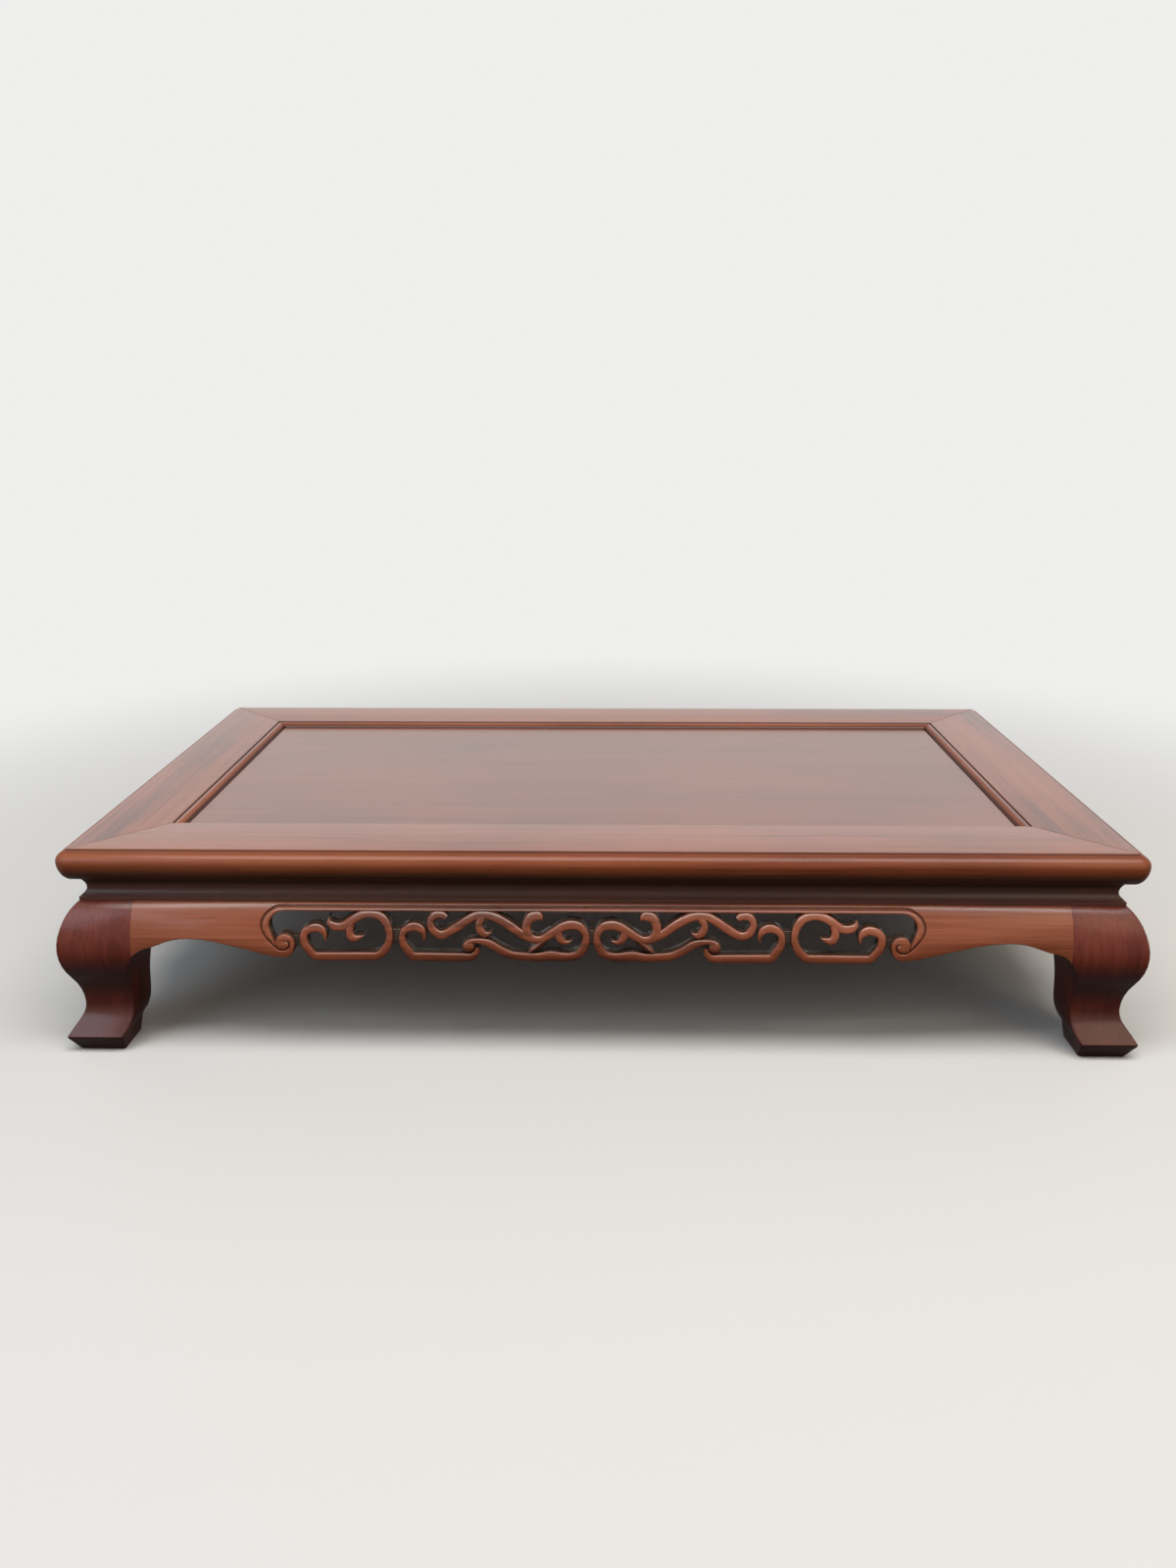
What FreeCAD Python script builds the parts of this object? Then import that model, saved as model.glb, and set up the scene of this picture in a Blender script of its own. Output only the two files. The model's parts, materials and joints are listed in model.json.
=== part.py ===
"""Low display table in the waisted East Asian manner: mitred top, openwork aprons, cabriole legs."""
import FreeCAD, Part
import math
import os

V = FreeCAD.Vector
ORIGIN = V(0, 0, 0)
UP = V(0, 0, 1)

# Driving dimensions in millimetres; "in" is measured inwards from the nose of the top's edge.
# Headings are in degrees, 0 pointing in or to the right and 90 up.
LENGTH = 890.0
DEPTH = 500.0
HEIGHT = 180.0
OVERSHOOT = 1.0
STRAIGHT = 1e-6

# Top frame
FRAME_THICK = 27.0
FRAME_WIDTH = 83.5
FLAT_IN = 9.5
NOSE_DROP = 10.5
BED_IN = 11.0
BED_HEADING = 165
FLAT_HEADING = 22
CORNER_RADIUS = 10.0
MITRE_ANGLE = 45
THUMB_WIDTH = 9.0
THUMB_DROP = 5.0

# Mitre joint: a blind tenon on each rail end, housed in the stile
MITRE_TENON_NEAR = 50.0
MITRE_TENON_FAR = 66.0
MITRE_TENON_TIP_IN = 22.0
MITRE_TENON_LOW = 163.0
MITRE_TENON_HIGH = 170.0
MORTISE_SPARE = 1.0

# Floating panel and its dovetailed battens
PANEL_THICK = 11.0
PANEL_GAP = 0.6
TONGUE_THICK = 5.0
TONGUE_DROP = 4.0
TONGUE_REACH = 7.0
GROOVE_DEPTH = 9.0
BATTEN_PLACES = (-220.0, 0.0, 220.0)
BATTEN_WIDTH = 30.0
BATTEN_DEPTH = 14.0
DOVETAIL_DEEP = 4.0
DOVETAIL_NECK = 20.0
DOVETAIL_HEAD = 25.0
BATTEN_TENON_WIDTH = 20.0
BATTEN_TENON_THICK = 8.0
BATTEN_TENON_REACH = 9.0
BATTEN_TENON_DROP = 1.0

# Waist strips
WAIST_HEIGHT = 20.0
WAIST_FACE_IN = 13.3
WAIST_BACK_IN = 26.0
WAIST_HOLLOW_IN = 18.6
WAIST_HOLLOW_DROP = 1.5
WAIST_HOLLOW_HEADINGS = (45, 122)
WAIST_BAND = 3.2
WAIST_STEP = 1.2
KEY_IN = 20.5
KEY_THICK = 4.0
KEY_REACH = 3.0
KEY_STOP = 66.0

# Legs
SHOULDER = 133.0
LEG_OUTER = (
    (13.1, 133.0, 216),
    (1.9, 119.0, 245),
    (-4.4, 93.0, 270),
    (8.4, 41.0, 270),
    (-4.6, 15.4, 236),
)
LEG_INNER = (
    (40.5, 0.0, 80),
    (43.0, 14.6, 72),
    (48.5, 25.0, 78),
    (50.4, 47.0, 88),
    (53.0, 73.0, 80),
    (59.0, 89.0, 52),
)
LEG_TOE_LIP = (-4.4, 13.6)
LEG_SOLE_IN = 3.2
LEG_JOINT_IN = 59.0
POST_NEAR = 26.0
POST_FAR = 56.0
LONG_TENON_HIGH = 169.0
SHORT_TENON_HIGH = 161.0
LEG_TENON_SPAN = (44.0, 56.0)
LEG_TENON_CROSS = (28.0, 38.0)

# Aprons: a swelling board that carries on the curve of the knees
APRON_THICK = 11.0
APRON_FOOT = 84.0
APRON_LEDGE_IN = 18.4
APRON_BACK_HEADINGS = (65, 54)
BAND_LOW = 127.0
APRON_TENON = ((0.7, 102.0), (8.0, 124.0))
APRON_TENON_THICK = 5.0
APRON_TENON_REACH = 11.0
CARVING_SHIFT = -5.5
FRONT_OPENING_HALF = 265.8
SIDE_OPENING_HALF = 145.8

# Scrollwork, left half, from the pattern's middle: along, height, heading, half width
ROUND_SCROLL = (
    (-219.4, 104.2, 88, 0.9),
    (-219.5, 108.3, 94, 1.5),
    (-221.5, 112.0, 130, 2.6),
    (-227.3, 114.4, 180, 3.0),
    (-237.3, 107.1, 270, 2.9),
    (-234.0, 97.3, 310, 3.0),
    (-225.9, 90.6, 0, 3.2),
    (-179.7, 90.9, 0, 3.2),
    (-170.6, 96.3, 52, 3.0),
    (-166.1, 109.4, 92, 2.6),
    (-171.7, 121.5, 137, 2.9),
    (-183.7, 125.1, 180, 2.6),
)
ROUND_SCROLL_CREST = (
    (-183.7, 125.1, 180, 2.6),
    (-193.2, 122.7, 206, 2.9),
    (-200.3, 118.4, 215, 3.0),
    (-207.5, 115.3, 182, 2.8),
    (-213.2, 116.2, 150, 2.7),
    (-216.5, 119.4, 105, 1.7),
    (-216.5, 122.4, 80, 0.8),
)
ROUND_SCROLL_HOOK = (
    (-197.9, 118.2, 252, 2.7),
    (-199.4, 112.3, 271, 2.8),
    (-195.9, 106.4, 345, 2.8),
    (-191.3, 107.1, 20, 1.7),
    (-187.2, 108.7, 30, 0.8),
)
SCROLL_END = (
    (-106.2, 90.5, 0, 3.2),
    (-99.3, 90.9, 14, 2.9),
    (-95.2, 94.0, 55, 2.3),
    (-93.2, 99.1, 66, 1.6),
)
LOW_SCROLL = (
    (-138.1, 104.8, 88, 0.9),
    (-137.5, 108.9, 95, 1.5),
    (-139.5, 113.0, 130, 2.6),
    (-146.2, 115.8, 180, 2.9),
    (-155.8, 107.6, 270, 2.7),
    (-152.9, 98.8, 308, 3.0),
    (-145.0, 90.8, 0, 3.2),
) + SCROLL_END
SHORT_SCROLL = ((-131.0, 92.5, 350, 2.8), (-118.0, 90.6, 0, 3.2)) + SCROLL_END
RUNNING_SCROLL = (
    (-101.5, 103.3, 20, 2.1),
    (-95.4, 104.8, 0, 1.9),
    (-89.0, 104.2, 350, 2.4),
    (-83.4, 102.2, 332, 2.9),
    (-75.4, 97.4, 330, 3.0),
    (-67.4, 93.3, 340, 3.1),
    (-57.8, 91.6, 356, 3.2),
    (-44.9, 91.0, 0, 3.2),
    (-33.6, 92.1, 0, 3.8),
    (-20.8, 91.3, 0, 3.2),
    (-14.3, 92.3, 14, 3.2),
    (-7.4, 97.7, 58, 3.0),
    (-4.3, 107.9, 92, 2.7),
    (-7.8, 114.9, 132, 2.8),
    (-16.8, 117.6, 180, 3.2),
    (-27.2, 114.2, 213, 3.0),
    (-36.8, 108.5, 212, 2.8),
    (-44.0, 105.9, 180, 2.7),
    (-50.8, 108.7, 130, 2.8),
    (-53.7, 115.1, 90, 3.1),
    (-51.5, 121.6, 58, 3.1),
    (-46.6, 124.2, 6, 3.4),
    (-43.7, 124.3, 355, 3.4),
)
UPPER_VINE = (
    (-120.1, 122.6, 126, 2.2),
    (-127.1, 124.8, 180, 2.7),
    (-132.7, 118.7, 270, 2.6),
    (-129.2, 112.1, 312, 2.8),
    (-122.8, 109.6, 4, 2.9),
    (-115.6, 112.6, 32, 3.0),
    (-103.6, 119.9, 33, 3.0),
    (-91.7, 124.8, 4, 2.8),
    (-83.6, 124.2, 345, 2.8),
    (-75.5, 121.3, 331, 3.0),
    (-67.4, 116.9, 327, 3.0),
    (-59.3, 111.5, 328, 2.9),
    (-51.2, 107.5, 335, 2.8),
    (-44.8, 105.8, 350, 2.6),
)
UPPER_VINE_HOOK = (
    (-89.2, 123.5, 225, 2.6),
    (-92.6, 117.4, 268, 2.7),
    (-90.0, 111.5, 315, 2.8),
    (-86.6, 110.0, 0, 2.2),
    (-81.8, 112.4, 42, 0.8),
)
INNER_HOOK = (
    (-28.4, 114.5, 272, 2.7),
    (-26.7, 109.2, 280, 2.8),
    (-23.9, 105.1, 325, 2.4),
    (-21.3, 103.9, 358, 1.5),
    (-18.3, 104.6, 15, 0.8),
)
LEAF = (
    (-36.0, 108.8, 222, 2.7),
    (-40.4, 104.8, 225, 3.8),
    (-44.4, 101.5, 222, 4.3),
    (-49.3, 97.2, 222, 2.7),
    (-53.2, 94.3, 218, 0.8),
)
BALL_CENTRE = (-101.1, 100.2)
BALL_RADIUS = 5.2
CENTRE_BRIDGE = (-4.4, 4.4, 101.5, 112.8)
SCROLL_BRIDGE = (-166.0, -156.0, 102.0, 113.0)
END_BRIDGE = (-246.0, -237.5, 99.5, 107.5)
BALL_BRIDGE = (-104.0, -97.0, 92.0, 97.0)

# End volute, placed from the outermost point of the opening
VOLUTE_FLOW = (
    (15.9, 90.7, 40),
    (21.3, 101.8, 92),
    (20.3, 105.7, 125),
    (13.9, 108.7, 180),
    (6.2, 104.2, 262),
    (5.0, 102.4, 200),
)
OPENING_FLOW = (
    (5.0, 102.4, 110),
    (3.0, 106.5, 118),
    (-0.2, 113.4, 98),
    (-0.6, 117.8, 90),
    (1.8, 122.8, 55),
    (8.3, 126.6, 8),
    (13.9, BAND_LOW, 0),
)

# Arch under the end of an apron: share of the way from the leg to the volute, height, heading
ARCH = (
    (0.0, *LEG_INNER[-1][1:]),
    (0.19, 101.2, 22),
    (0.36, 105.7, 0),
    (0.72, 97.4, 346),
    (0.955, 90.4, 352),
    (1.0, 90.7, 20),
)


def pointing(heading):
    """Unit vector of a heading in the XZ plane."""
    turn = math.radians(heading)
    return V(math.cos(turn), 0, math.sin(turn))


def left_of(along):
    return V(-along.z, 0, along.x)


def arc_stations(start, along, end):
    """Start, middle and end of the arc that leaves start along a tangent; each with its own tangent."""
    chord = end - start
    line = V(chord).normalize()
    half_turn = math.atan2(along.x * line.z - along.z * line.x, along.dot(line))
    middle = (start + end) * 0.5 - left_of(line) * (chord.Length / 2 * math.tan(half_turn / 2))
    leaving = line * math.cos(half_turn) + left_of(line) * math.sin(half_turn)
    return [(start, along), (middle, line), (end, leaving)]


def biarc(first, second):
    """The two tangent arcs that join a point and heading to the next point and heading."""
    start, end = V(first[0], 0, first[1]), V(second[0], 0, second[1])
    out, home = pointing(first[2]), pointing(second[2])
    gap = end - start
    both = gap.dot(out + home)
    bend = 1 - out.dot(home)
    if bend < STRAIGHT:
        reach = gap.dot(gap) / (2 * both)
    else:
        reach = (math.sqrt(both * both + 2 * bend * gap.dot(gap)) - both) / (2 * bend)
    corner_out, corner_home = start + out * reach, end - home * reach
    joint = (corner_out + corner_home) * 0.5
    passing = (corner_home - corner_out).normalize()
    return [arc_stations(start, out, joint), arc_stations(joint, passing, end)]


def flow(points):
    """Every arc along a run of points with headings."""
    arcs = []
    for first, second in zip(points, points[1:]):
        arcs += biarc(first, second)
    return arcs


def arc_edge(start, middle, end):
    """An arc through three points, or a straight edge where they are in line."""
    bow = (middle - (start + end) * 0.5).Length
    if bow < STRAIGHT:
        return Part.LineSegment(start, end).toShape()
    return Part.Arc(start, middle, end).toShape()


def flow_edges(points):
    return [arc_edge(*[place for place, along in arc]) for arc in flow(points)]


def straight_edges(*points):
    """Straight edges through (along, height) points."""
    spots = [V(x, 0, z) for x, z in points]
    return [Part.LineSegment(a, b).toShape() for a, b in zip(spots, spots[1:])]


def face_of(edges):
    return Part.Face(Part.Wire(edges))


def box(low, high):
    size = V(*high) - V(*low)
    return Part.makeBox(size.x, size.y, size.z, V(*low))


def mirrored(shape, normal):
    return shape.mirror(ORIGIN, normal)


def turned(shape, degrees):
    copy = shape.copy()
    copy.rotate(ORIGIN, UP, degrees)
    return copy


def along_front(face, half_length, nose_half):
    """A section drawn as (in, height) run along X behind the front nose."""
    section = face.copy()
    section.rotate(ORIGIN, UP, 90)
    section.translate(V(-half_length, -nose_half, 0))
    return section.extrude(V(2 * half_length, 0, 0))


def mitre_keeper(half_length, nose_half):
    """Prism over the front members' plan, cut to the two mitre planes."""
    reach = FRAME_WIDTH + OVERSHOOT
    far = half_length - reach
    corners = [V(-half_length, -nose_half, 0), V(half_length, -nose_half, 0)]
    corners += [V(far, reach - nose_half, 0), V(-far, reach - nose_half, 0)]
    return Part.Face(Part.makePolygon(corners + corners[:1])).extrude(UP * (HEIGHT + OVERSHOOT))


def frame_section():
    """Rail section: rounded nose, flat, thumb mould, panel groove and bed."""
    bottom = HEIGHT - FRAME_THICK
    nose = HEIGHT - NOSE_DROP
    panel_top = HEIGHT - THUMB_DROP
    groove_top = panel_top - TONGUE_DROP
    groove_low = groove_top - TONGUE_THICK
    thumb_in = FRAME_WIDTH - THUMB_WIDTH
    edges = straight_edges((FLAT_IN, HEIGHT), (thumb_in, HEIGHT))
    thumb = arc_stations(V(thumb_in, 0, HEIGHT), pointing(0), V(FRAME_WIDTH, 0, panel_top))
    edges.append(arc_edge(*[place for place, along in thumb]))
    edges += straight_edges(
        (FRAME_WIDTH, panel_top),
        (FRAME_WIDTH, groove_top),
        (FRAME_WIDTH - GROOVE_DEPTH, groove_top),
        (FRAME_WIDTH - GROOVE_DEPTH, groove_low),
        (FRAME_WIDTH, groove_low),
        (FRAME_WIDTH, bottom),
        (BED_IN, bottom),
    )
    edges += flow_edges(((BED_IN, bottom, BED_HEADING), (0, nose, 90), (FLAT_IN, HEIGHT, FLAT_HEADING)))
    return face_of(edges)


def nose_wedge(section, half_length, nose_half):
    """Eighth of a turn of the nose round the left front corner, up to the mitre."""
    slice_box = box((-OVERSHOOT, -OVERSHOOT, 0), (CORNER_RADIUS, OVERSHOOT, HEIGHT + OVERSHOOT))
    part = section.common(slice_box).Faces[0].copy()
    part.rotate(ORIGIN, UP, 90)
    part.translate(V(CORNER_RADIUS - half_length, -nose_half, 0))
    centre = V(CORNER_RADIUS - half_length, CORNER_RADIUS - nose_half, 0)
    return part.revolve(centre, UP, -MITRE_ANGLE)


def frame_member(half_length, nose_half):
    """A mitred member of the top along X, at the front, with rounded corners."""
    section = frame_section()
    bar = along_front(section, half_length - CORNER_RADIUS, nose_half)
    bar = bar.common(mitre_keeper(half_length, nose_half))
    wedge = nose_wedge(section, half_length, nose_half)
    bar = bar.multiFuse([wedge, mirrored(wedge, V(1, 0, 0))])
    key_slot = box(
        (KEY_STOP - half_length, KEY_IN - nose_half, HEIGHT - FRAME_THICK),
        (half_length - KEY_STOP, KEY_IN + KEY_THICK - nose_half, HEIGHT - FRAME_THICK + KEY_REACH),
    )
    return bar.cut(key_slot).removeSplitter()


def mitre_tenon(tip_in):
    """Tenon on the left end of the front rail, running towards the stile's outer edge."""
    plan = [
        (MITRE_TENON_NEAR, MITRE_TENON_NEAR),
        (MITRE_TENON_FAR, MITRE_TENON_FAR),
        (tip_in, MITRE_TENON_FAR),
        (tip_in, MITRE_TENON_NEAR),
    ]
    corners = [V(a - LENGTH / 2, b - DEPTH / 2, MITRE_TENON_LOW) for a, b in plan]
    face = Part.Face(Part.makePolygon(corners + corners[:1]))
    return face.extrude(UP * (MITRE_TENON_HIGH - MITRE_TENON_LOW))


def leg_tenon(high, along_x):
    """One of the leg's two head tenons at the left front corner; the long one enters the rail."""
    a_span, b_span = (LEG_TENON_SPAN, LEG_TENON_CROSS) if along_x else (LEG_TENON_CROSS, LEG_TENON_SPAN)
    low = (a_span[0] - LENGTH / 2, b_span[0] - DEPTH / 2, HEIGHT - FRAME_THICK)
    return box(low, (a_span[1] - LENGTH / 2, b_span[1] - DEPTH / 2, high))


def batten_tenon(place, reach):
    """Tenon of a batten in the front rail."""
    top = HEIGHT - THUMB_DROP - PANEL_THICK - BATTEN_TENON_DROP
    face = FRAME_WIDTH - DEPTH / 2
    low = (place - BATTEN_TENON_WIDTH / 2, face - reach, top - BATTEN_TENON_THICK)
    return box(low, (place + BATTEN_TENON_WIDTH / 2, face, top))


def front_rail():
    rail = frame_member(LENGTH / 2, DEPTH / 2)
    tenon = mitre_tenon(MITRE_TENON_TIP_IN)
    rail = rail.multiFuse([tenon, mirrored(tenon, V(1, 0, 0))])
    mortise = leg_tenon(LONG_TENON_HIGH + MORTISE_SPARE, True)
    holes = [mortise, mirrored(mortise, V(1, 0, 0))]
    holes += [batten_tenon(place, BATTEN_TENON_REACH + MORTISE_SPARE) for place in BATTEN_PLACES]
    return rail.cut(holes)


def left_stile():
    stile = turned(frame_member(DEPTH / 2, LENGTH / 2), -90)
    tenon_hole = mitre_tenon(MITRE_TENON_TIP_IN - MORTISE_SPARE)
    leg_hole = leg_tenon(SHORT_TENON_HIGH + MORTISE_SPARE, False)
    holes = [tenon_hole, leg_hole]
    holes += [mirrored(hole, V(0, 1, 0)) for hole in holes]
    return stile.cut(holes)


def dovetail(place, half_length):
    """Dovetailed tongue of a batten, from the panel's underside upwards."""
    low = HEIGHT - THUMB_DROP - PANEL_THICK
    head, neck = DOVETAIL_HEAD / 2, DOVETAIL_NECK / 2
    plan = [(-neck, 0), (neck, 0), (head, DOVETAIL_DEEP), (-head, DOVETAIL_DEEP)]
    corners = [V(place + x, -half_length, low + z) for x, z in plan]
    return Part.Face(Part.makePolygon(corners + corners[:1])).extrude(V(0, 2 * half_length, 0))


def panel():
    half_x = LENGTH / 2 - FRAME_WIDTH - PANEL_GAP
    half_y = DEPTH / 2 - FRAME_WIDTH - PANEL_GAP
    top = HEIGHT - THUMB_DROP
    tongue_top = top - TONGUE_DROP
    board = box((-half_x, -half_y, top - PANEL_THICK), (half_x, half_y, top))
    reach = TONGUE_REACH + PANEL_GAP
    tongue = box(
        (-half_x - reach, -half_y - reach, tongue_top - TONGUE_THICK),
        (half_x + reach, half_y + reach, tongue_top),
    )
    board = board.fuse(tongue).removeSplitter()
    return board.cut([dovetail(place, half_y) for place in BATTEN_PLACES])


def batten(place):
    low = HEIGHT - THUMB_DROP - PANEL_THICK
    half = DEPTH / 2 - FRAME_WIDTH
    body = box((place - BATTEN_WIDTH / 2, -half, low - BATTEN_DEPTH), (place + BATTEN_WIDTH / 2, half, low))
    tenon = batten_tenon(place, BATTEN_TENON_REACH)
    head = dovetail(place, half - PANEL_GAP)
    return body.multiFuse([head, tenon, mirrored(tenon, V(0, 1, 0))]).removeSplitter()


def waist_section():
    """Hollow-faced strip with a square band along its foot."""
    top = SHOULDER + WAIST_HEIGHT
    step = SHOULDER + WAIST_BAND
    lip = WAIST_FACE_IN + WAIST_STEP
    edges = straight_edges((lip, top), (WAIST_BACK_IN, top), (WAIST_BACK_IN, SHOULDER))
    edges += straight_edges((WAIST_BACK_IN, SHOULDER), (WAIST_FACE_IN, SHOULDER), (WAIST_FACE_IN, step))
    edges += straight_edges((WAIST_FACE_IN, step), (lip, step))
    middle = (step + top) / 2 - WAIST_HOLLOW_DROP
    leaving, meeting = WAIST_HOLLOW_HEADINGS
    edges += flow_edges(((lip, step, leaving), (WAIST_HOLLOW_IN, middle, 90), (lip, top, meeting)))
    return face_of(edges)


def waist(half_length, nose_half):
    """A waist strip along X at the front, mitred, with keys into the frame and the apron."""
    strip = along_front(waist_section(), half_length, nose_half)
    strip = strip.common(mitre_keeper(half_length, nose_half))
    key_low = (KEY_STOP - half_length, KEY_IN - nose_half, SHOULDER - KEY_REACH)
    key_high = (half_length - KEY_STOP, KEY_IN + KEY_THICK - nose_half, SHOULDER + WAIST_HEIGHT + KEY_REACH)
    return strip.fuse(box(key_low, key_high)).removeSplitter()


def apron_tenon(half_length, nose_half, reach):
    """Sloping tenon on the left end of the front apron."""
    (low_in, low), (high_in, high) = APRON_TENON
    edges = straight_edges(
        (low_in, low),
        (low_in + APRON_TENON_THICK, low),
        (high_in + APRON_TENON_THICK, high),
        (high_in, high),
        (low_in, low),
    )
    tenon = along_front(face_of(edges), reach / 2, nose_half)
    tenon.translate(V(LEG_JOINT_IN - half_length - reach / 2, 0, 0))
    return tenon


def leg_profile():
    """Side view of a leg as (in, height): swelling knee, drawn-in ankle, out-turned toe."""
    edges = flow_edges(LEG_OUTER)
    toe = LEG_OUTER[-1][:2]
    edges += straight_edges(toe, LEG_TOE_LIP, (LEG_SOLE_IN, 0), LEG_INNER[0][:2])
    edges += flow_edges(LEG_INNER)
    edges += straight_edges(LEG_INNER[-1][:2], (LEG_JOINT_IN, SHOULDER), LEG_OUTER[0][:2])
    return face_of(edges)


def left_front_leg():
    """The knee profile cut through the billet from both outer faces, with its post and tenons."""
    spread = 2 * LEG_JOINT_IN
    face = leg_profile()
    from_side = face.extrude(V(0, spread, 0))
    from_side.translate(V(-LENGTH / 2, -DEPTH / 2 - LEG_JOINT_IN / 2, 0))
    from_front = turned(face, 90).extrude(V(spread, 0, 0))
    from_front.translate(V(-LENGTH / 2 - LEG_JOINT_IN / 2, -DEPTH / 2, 0))
    leg = from_side.common(from_front)
    post = box(
        (POST_NEAR - LENGTH / 2, POST_NEAR - DEPTH / 2, SHOULDER),
        (POST_FAR - LENGTH / 2, POST_FAR - DEPTH / 2, HEIGHT - FRAME_THICK),
    )
    leg = leg.multiFuse([post, leg_tenon(LONG_TENON_HIGH, True), leg_tenon(SHORT_TENON_HIGH, False)])
    front_hole = apron_tenon(LENGTH / 2, DEPTH / 2, APRON_TENON_REACH + MORTISE_SPARE)
    side_hole = apron_tenon(DEPTH / 2, LENGTH / 2, APRON_TENON_REACH + MORTISE_SPARE)
    side_hole = mirrored(turned(side_hole, -90), V(0, 1, 0))
    return leg.cut([front_hole, side_hole])


def stem_widths(points):
    """Half width at the start, middle and end of each arc of a stem."""
    widths = []
    for first, second in zip(points, points[1:]):
        start, end = first[3], second[3]
        joint = (start + end) / 2
        widths += [(start, (start + joint) / 2, joint), (joint, (joint + end) / 2, end)]
    return widths


def stem(points):
    """A scroll stem as a flat face: both sides of its centre line and a round end at each tip."""
    arcs = flow(points)
    widths = stem_widths(points)
    left, right = [], []
    for arc, half in zip(arcs, widths):
        left.append([place + left_of(along) * w for (place, along), w in zip(arc, half)])
        right.append([place - left_of(along) * w for (place, along), w in zip(arc, half)])
    edges = [arc_edge(*side) for side in left]
    tip, along = arcs[-1][2]
    edges.append(arc_edge(left[-1][2], tip + along * widths[-1][2], right[-1][2]))
    edges += [arc_edge(*side[::-1]) for side in right[::-1]]
    root, along = arcs[0][0]
    edges.append(arc_edge(right[0][0], root - along * widths[0][0], left[0][0]))
    return face_of(edges)


def ball():
    """Round end of a running scroll."""
    ring = Part.Circle(V(BALL_CENTRE[0], 0, BALL_CENTRE[1]), V(0, -1, 0), BALL_RADIUS)
    return face_of([ring.toShape()])


def plate(left, right, low, high):
    return face_of(straight_edges((left, low), (right, low), (right, high), (left, high), (left, low)))


def spandrel(joint, opening):
    """Solid end of an apron: arched lower edge, closing volute and the round end of the opening."""
    run = opening + VOLUTE_FLOW[0][0] - joint
    edges = flow_edges([(joint + run * share, height, heading) for share, height, heading in ARCH])
    edges += flow_edges([(opening + x, z, h) for x, z, h in VOLUTE_FLOW])
    edges += flow_edges([(opening + x, z, h) for x, z, h in OPENING_FLOW])
    end = opening + OPENING_FLOW[-1][0]
    top = SHOULDER + OVERSHOOT
    edges += straight_edges((end, BAND_LOW), (end, top), (joint, top), (joint, ARCH[0][1]))
    return face_of(edges)


def mirrored_pair(face):
    return [face, mirrored(face, V(1, 0, 0))]


def mirrored_stems(*lines):
    faces = []
    for points in lines:
        faces += mirrored_pair(stem(points))
    return faces


def running_pattern():
    """The scrolls that meet at the middle of every apron."""
    faces = mirrored_stems(RUNNING_SCROLL, UPPER_VINE, UPPER_VINE_HOOK, INNER_HOOK, LEAF)
    faces += mirrored_pair(ball()) + mirrored_pair(plate(*BALL_BRIDGE))
    return faces + [plate(*CENTRE_BRIDGE)]


def front_pattern():
    faces = mirrored_stems(LOW_SCROLL, ROUND_SCROLL, ROUND_SCROLL_CREST, ROUND_SCROLL_HOOK)
    faces += mirrored_pair(plate(*SCROLL_BRIDGE)) + mirrored_pair(plate(*END_BRIDGE))
    return running_pattern() + faces


def side_pattern():
    return running_pattern() + mirrored_stems(SHORT_SCROLL)


def apron_section():
    """Swelling face, square top ledge and a hollowed back."""
    outer = LEG_OUTER[:3]
    swell, foot = outer[-1][0], APRON_FOOT
    edges = flow_edges(outer)
    edges += straight_edges((swell, outer[-1][1]), (swell, foot), (swell + APRON_THICK, foot))
    edges += straight_edges((swell + APRON_THICK, foot), (swell + APRON_THICK, outer[-1][1]))
    leaning, ending = APRON_BACK_HEADINGS
    back = ((swell + APRON_THICK, outer[-1][1], 90), (outer[1][0] + APRON_THICK, outer[1][1], leaning))
    edges += flow_edges(back + ((APRON_LEDGE_IN, BAND_LOW, ending),))
    edges += straight_edges(
        (APRON_LEDGE_IN, BAND_LOW),
        (WAIST_BACK_IN, BAND_LOW),
        (WAIST_BACK_IN, SHOULDER),
        outer[0][:2],
    )
    return face_of(edges)


def apron(half_length, nose_half, faces, opening_half, shift):
    """An openwork apron along X at the front: the swelling board kept where the pattern is."""
    joint = half_length - LEG_JOINT_IN
    shapes = [face.translated(V(shift, 0, 0)) for face in faces]
    shapes.append(spandrel(-joint, shift - opening_half))
    shapes.append(mirrored(spandrel(-joint, -shift - opening_half), V(1, 0, 0)))
    shapes.append(plate(-joint, joint, BAND_LOW, SHOULDER + OVERSHOOT))
    blank = along_front(apron_section(), joint, nose_half)
    bits = [blank.common(face.extrude(V(0, -nose_half - LEG_JOINT_IN, 0))) for face in shapes]
    board = bits[0].multiFuse(bits[1:]).removeSplitter()
    key_slot = box(
        (KEY_STOP - half_length, KEY_IN - nose_half, SHOULDER - KEY_REACH),
        (half_length - KEY_STOP, KEY_IN + KEY_THICK - nose_half, SHOULDER + OVERSHOOT),
    )
    board = board.cut(key_slot)
    tenon = apron_tenon(half_length, nose_half, APRON_TENON_REACH)
    return board.multiFuse([tenon, mirrored(tenon, V(1, 0, 0))]).removeSplitter()


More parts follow.
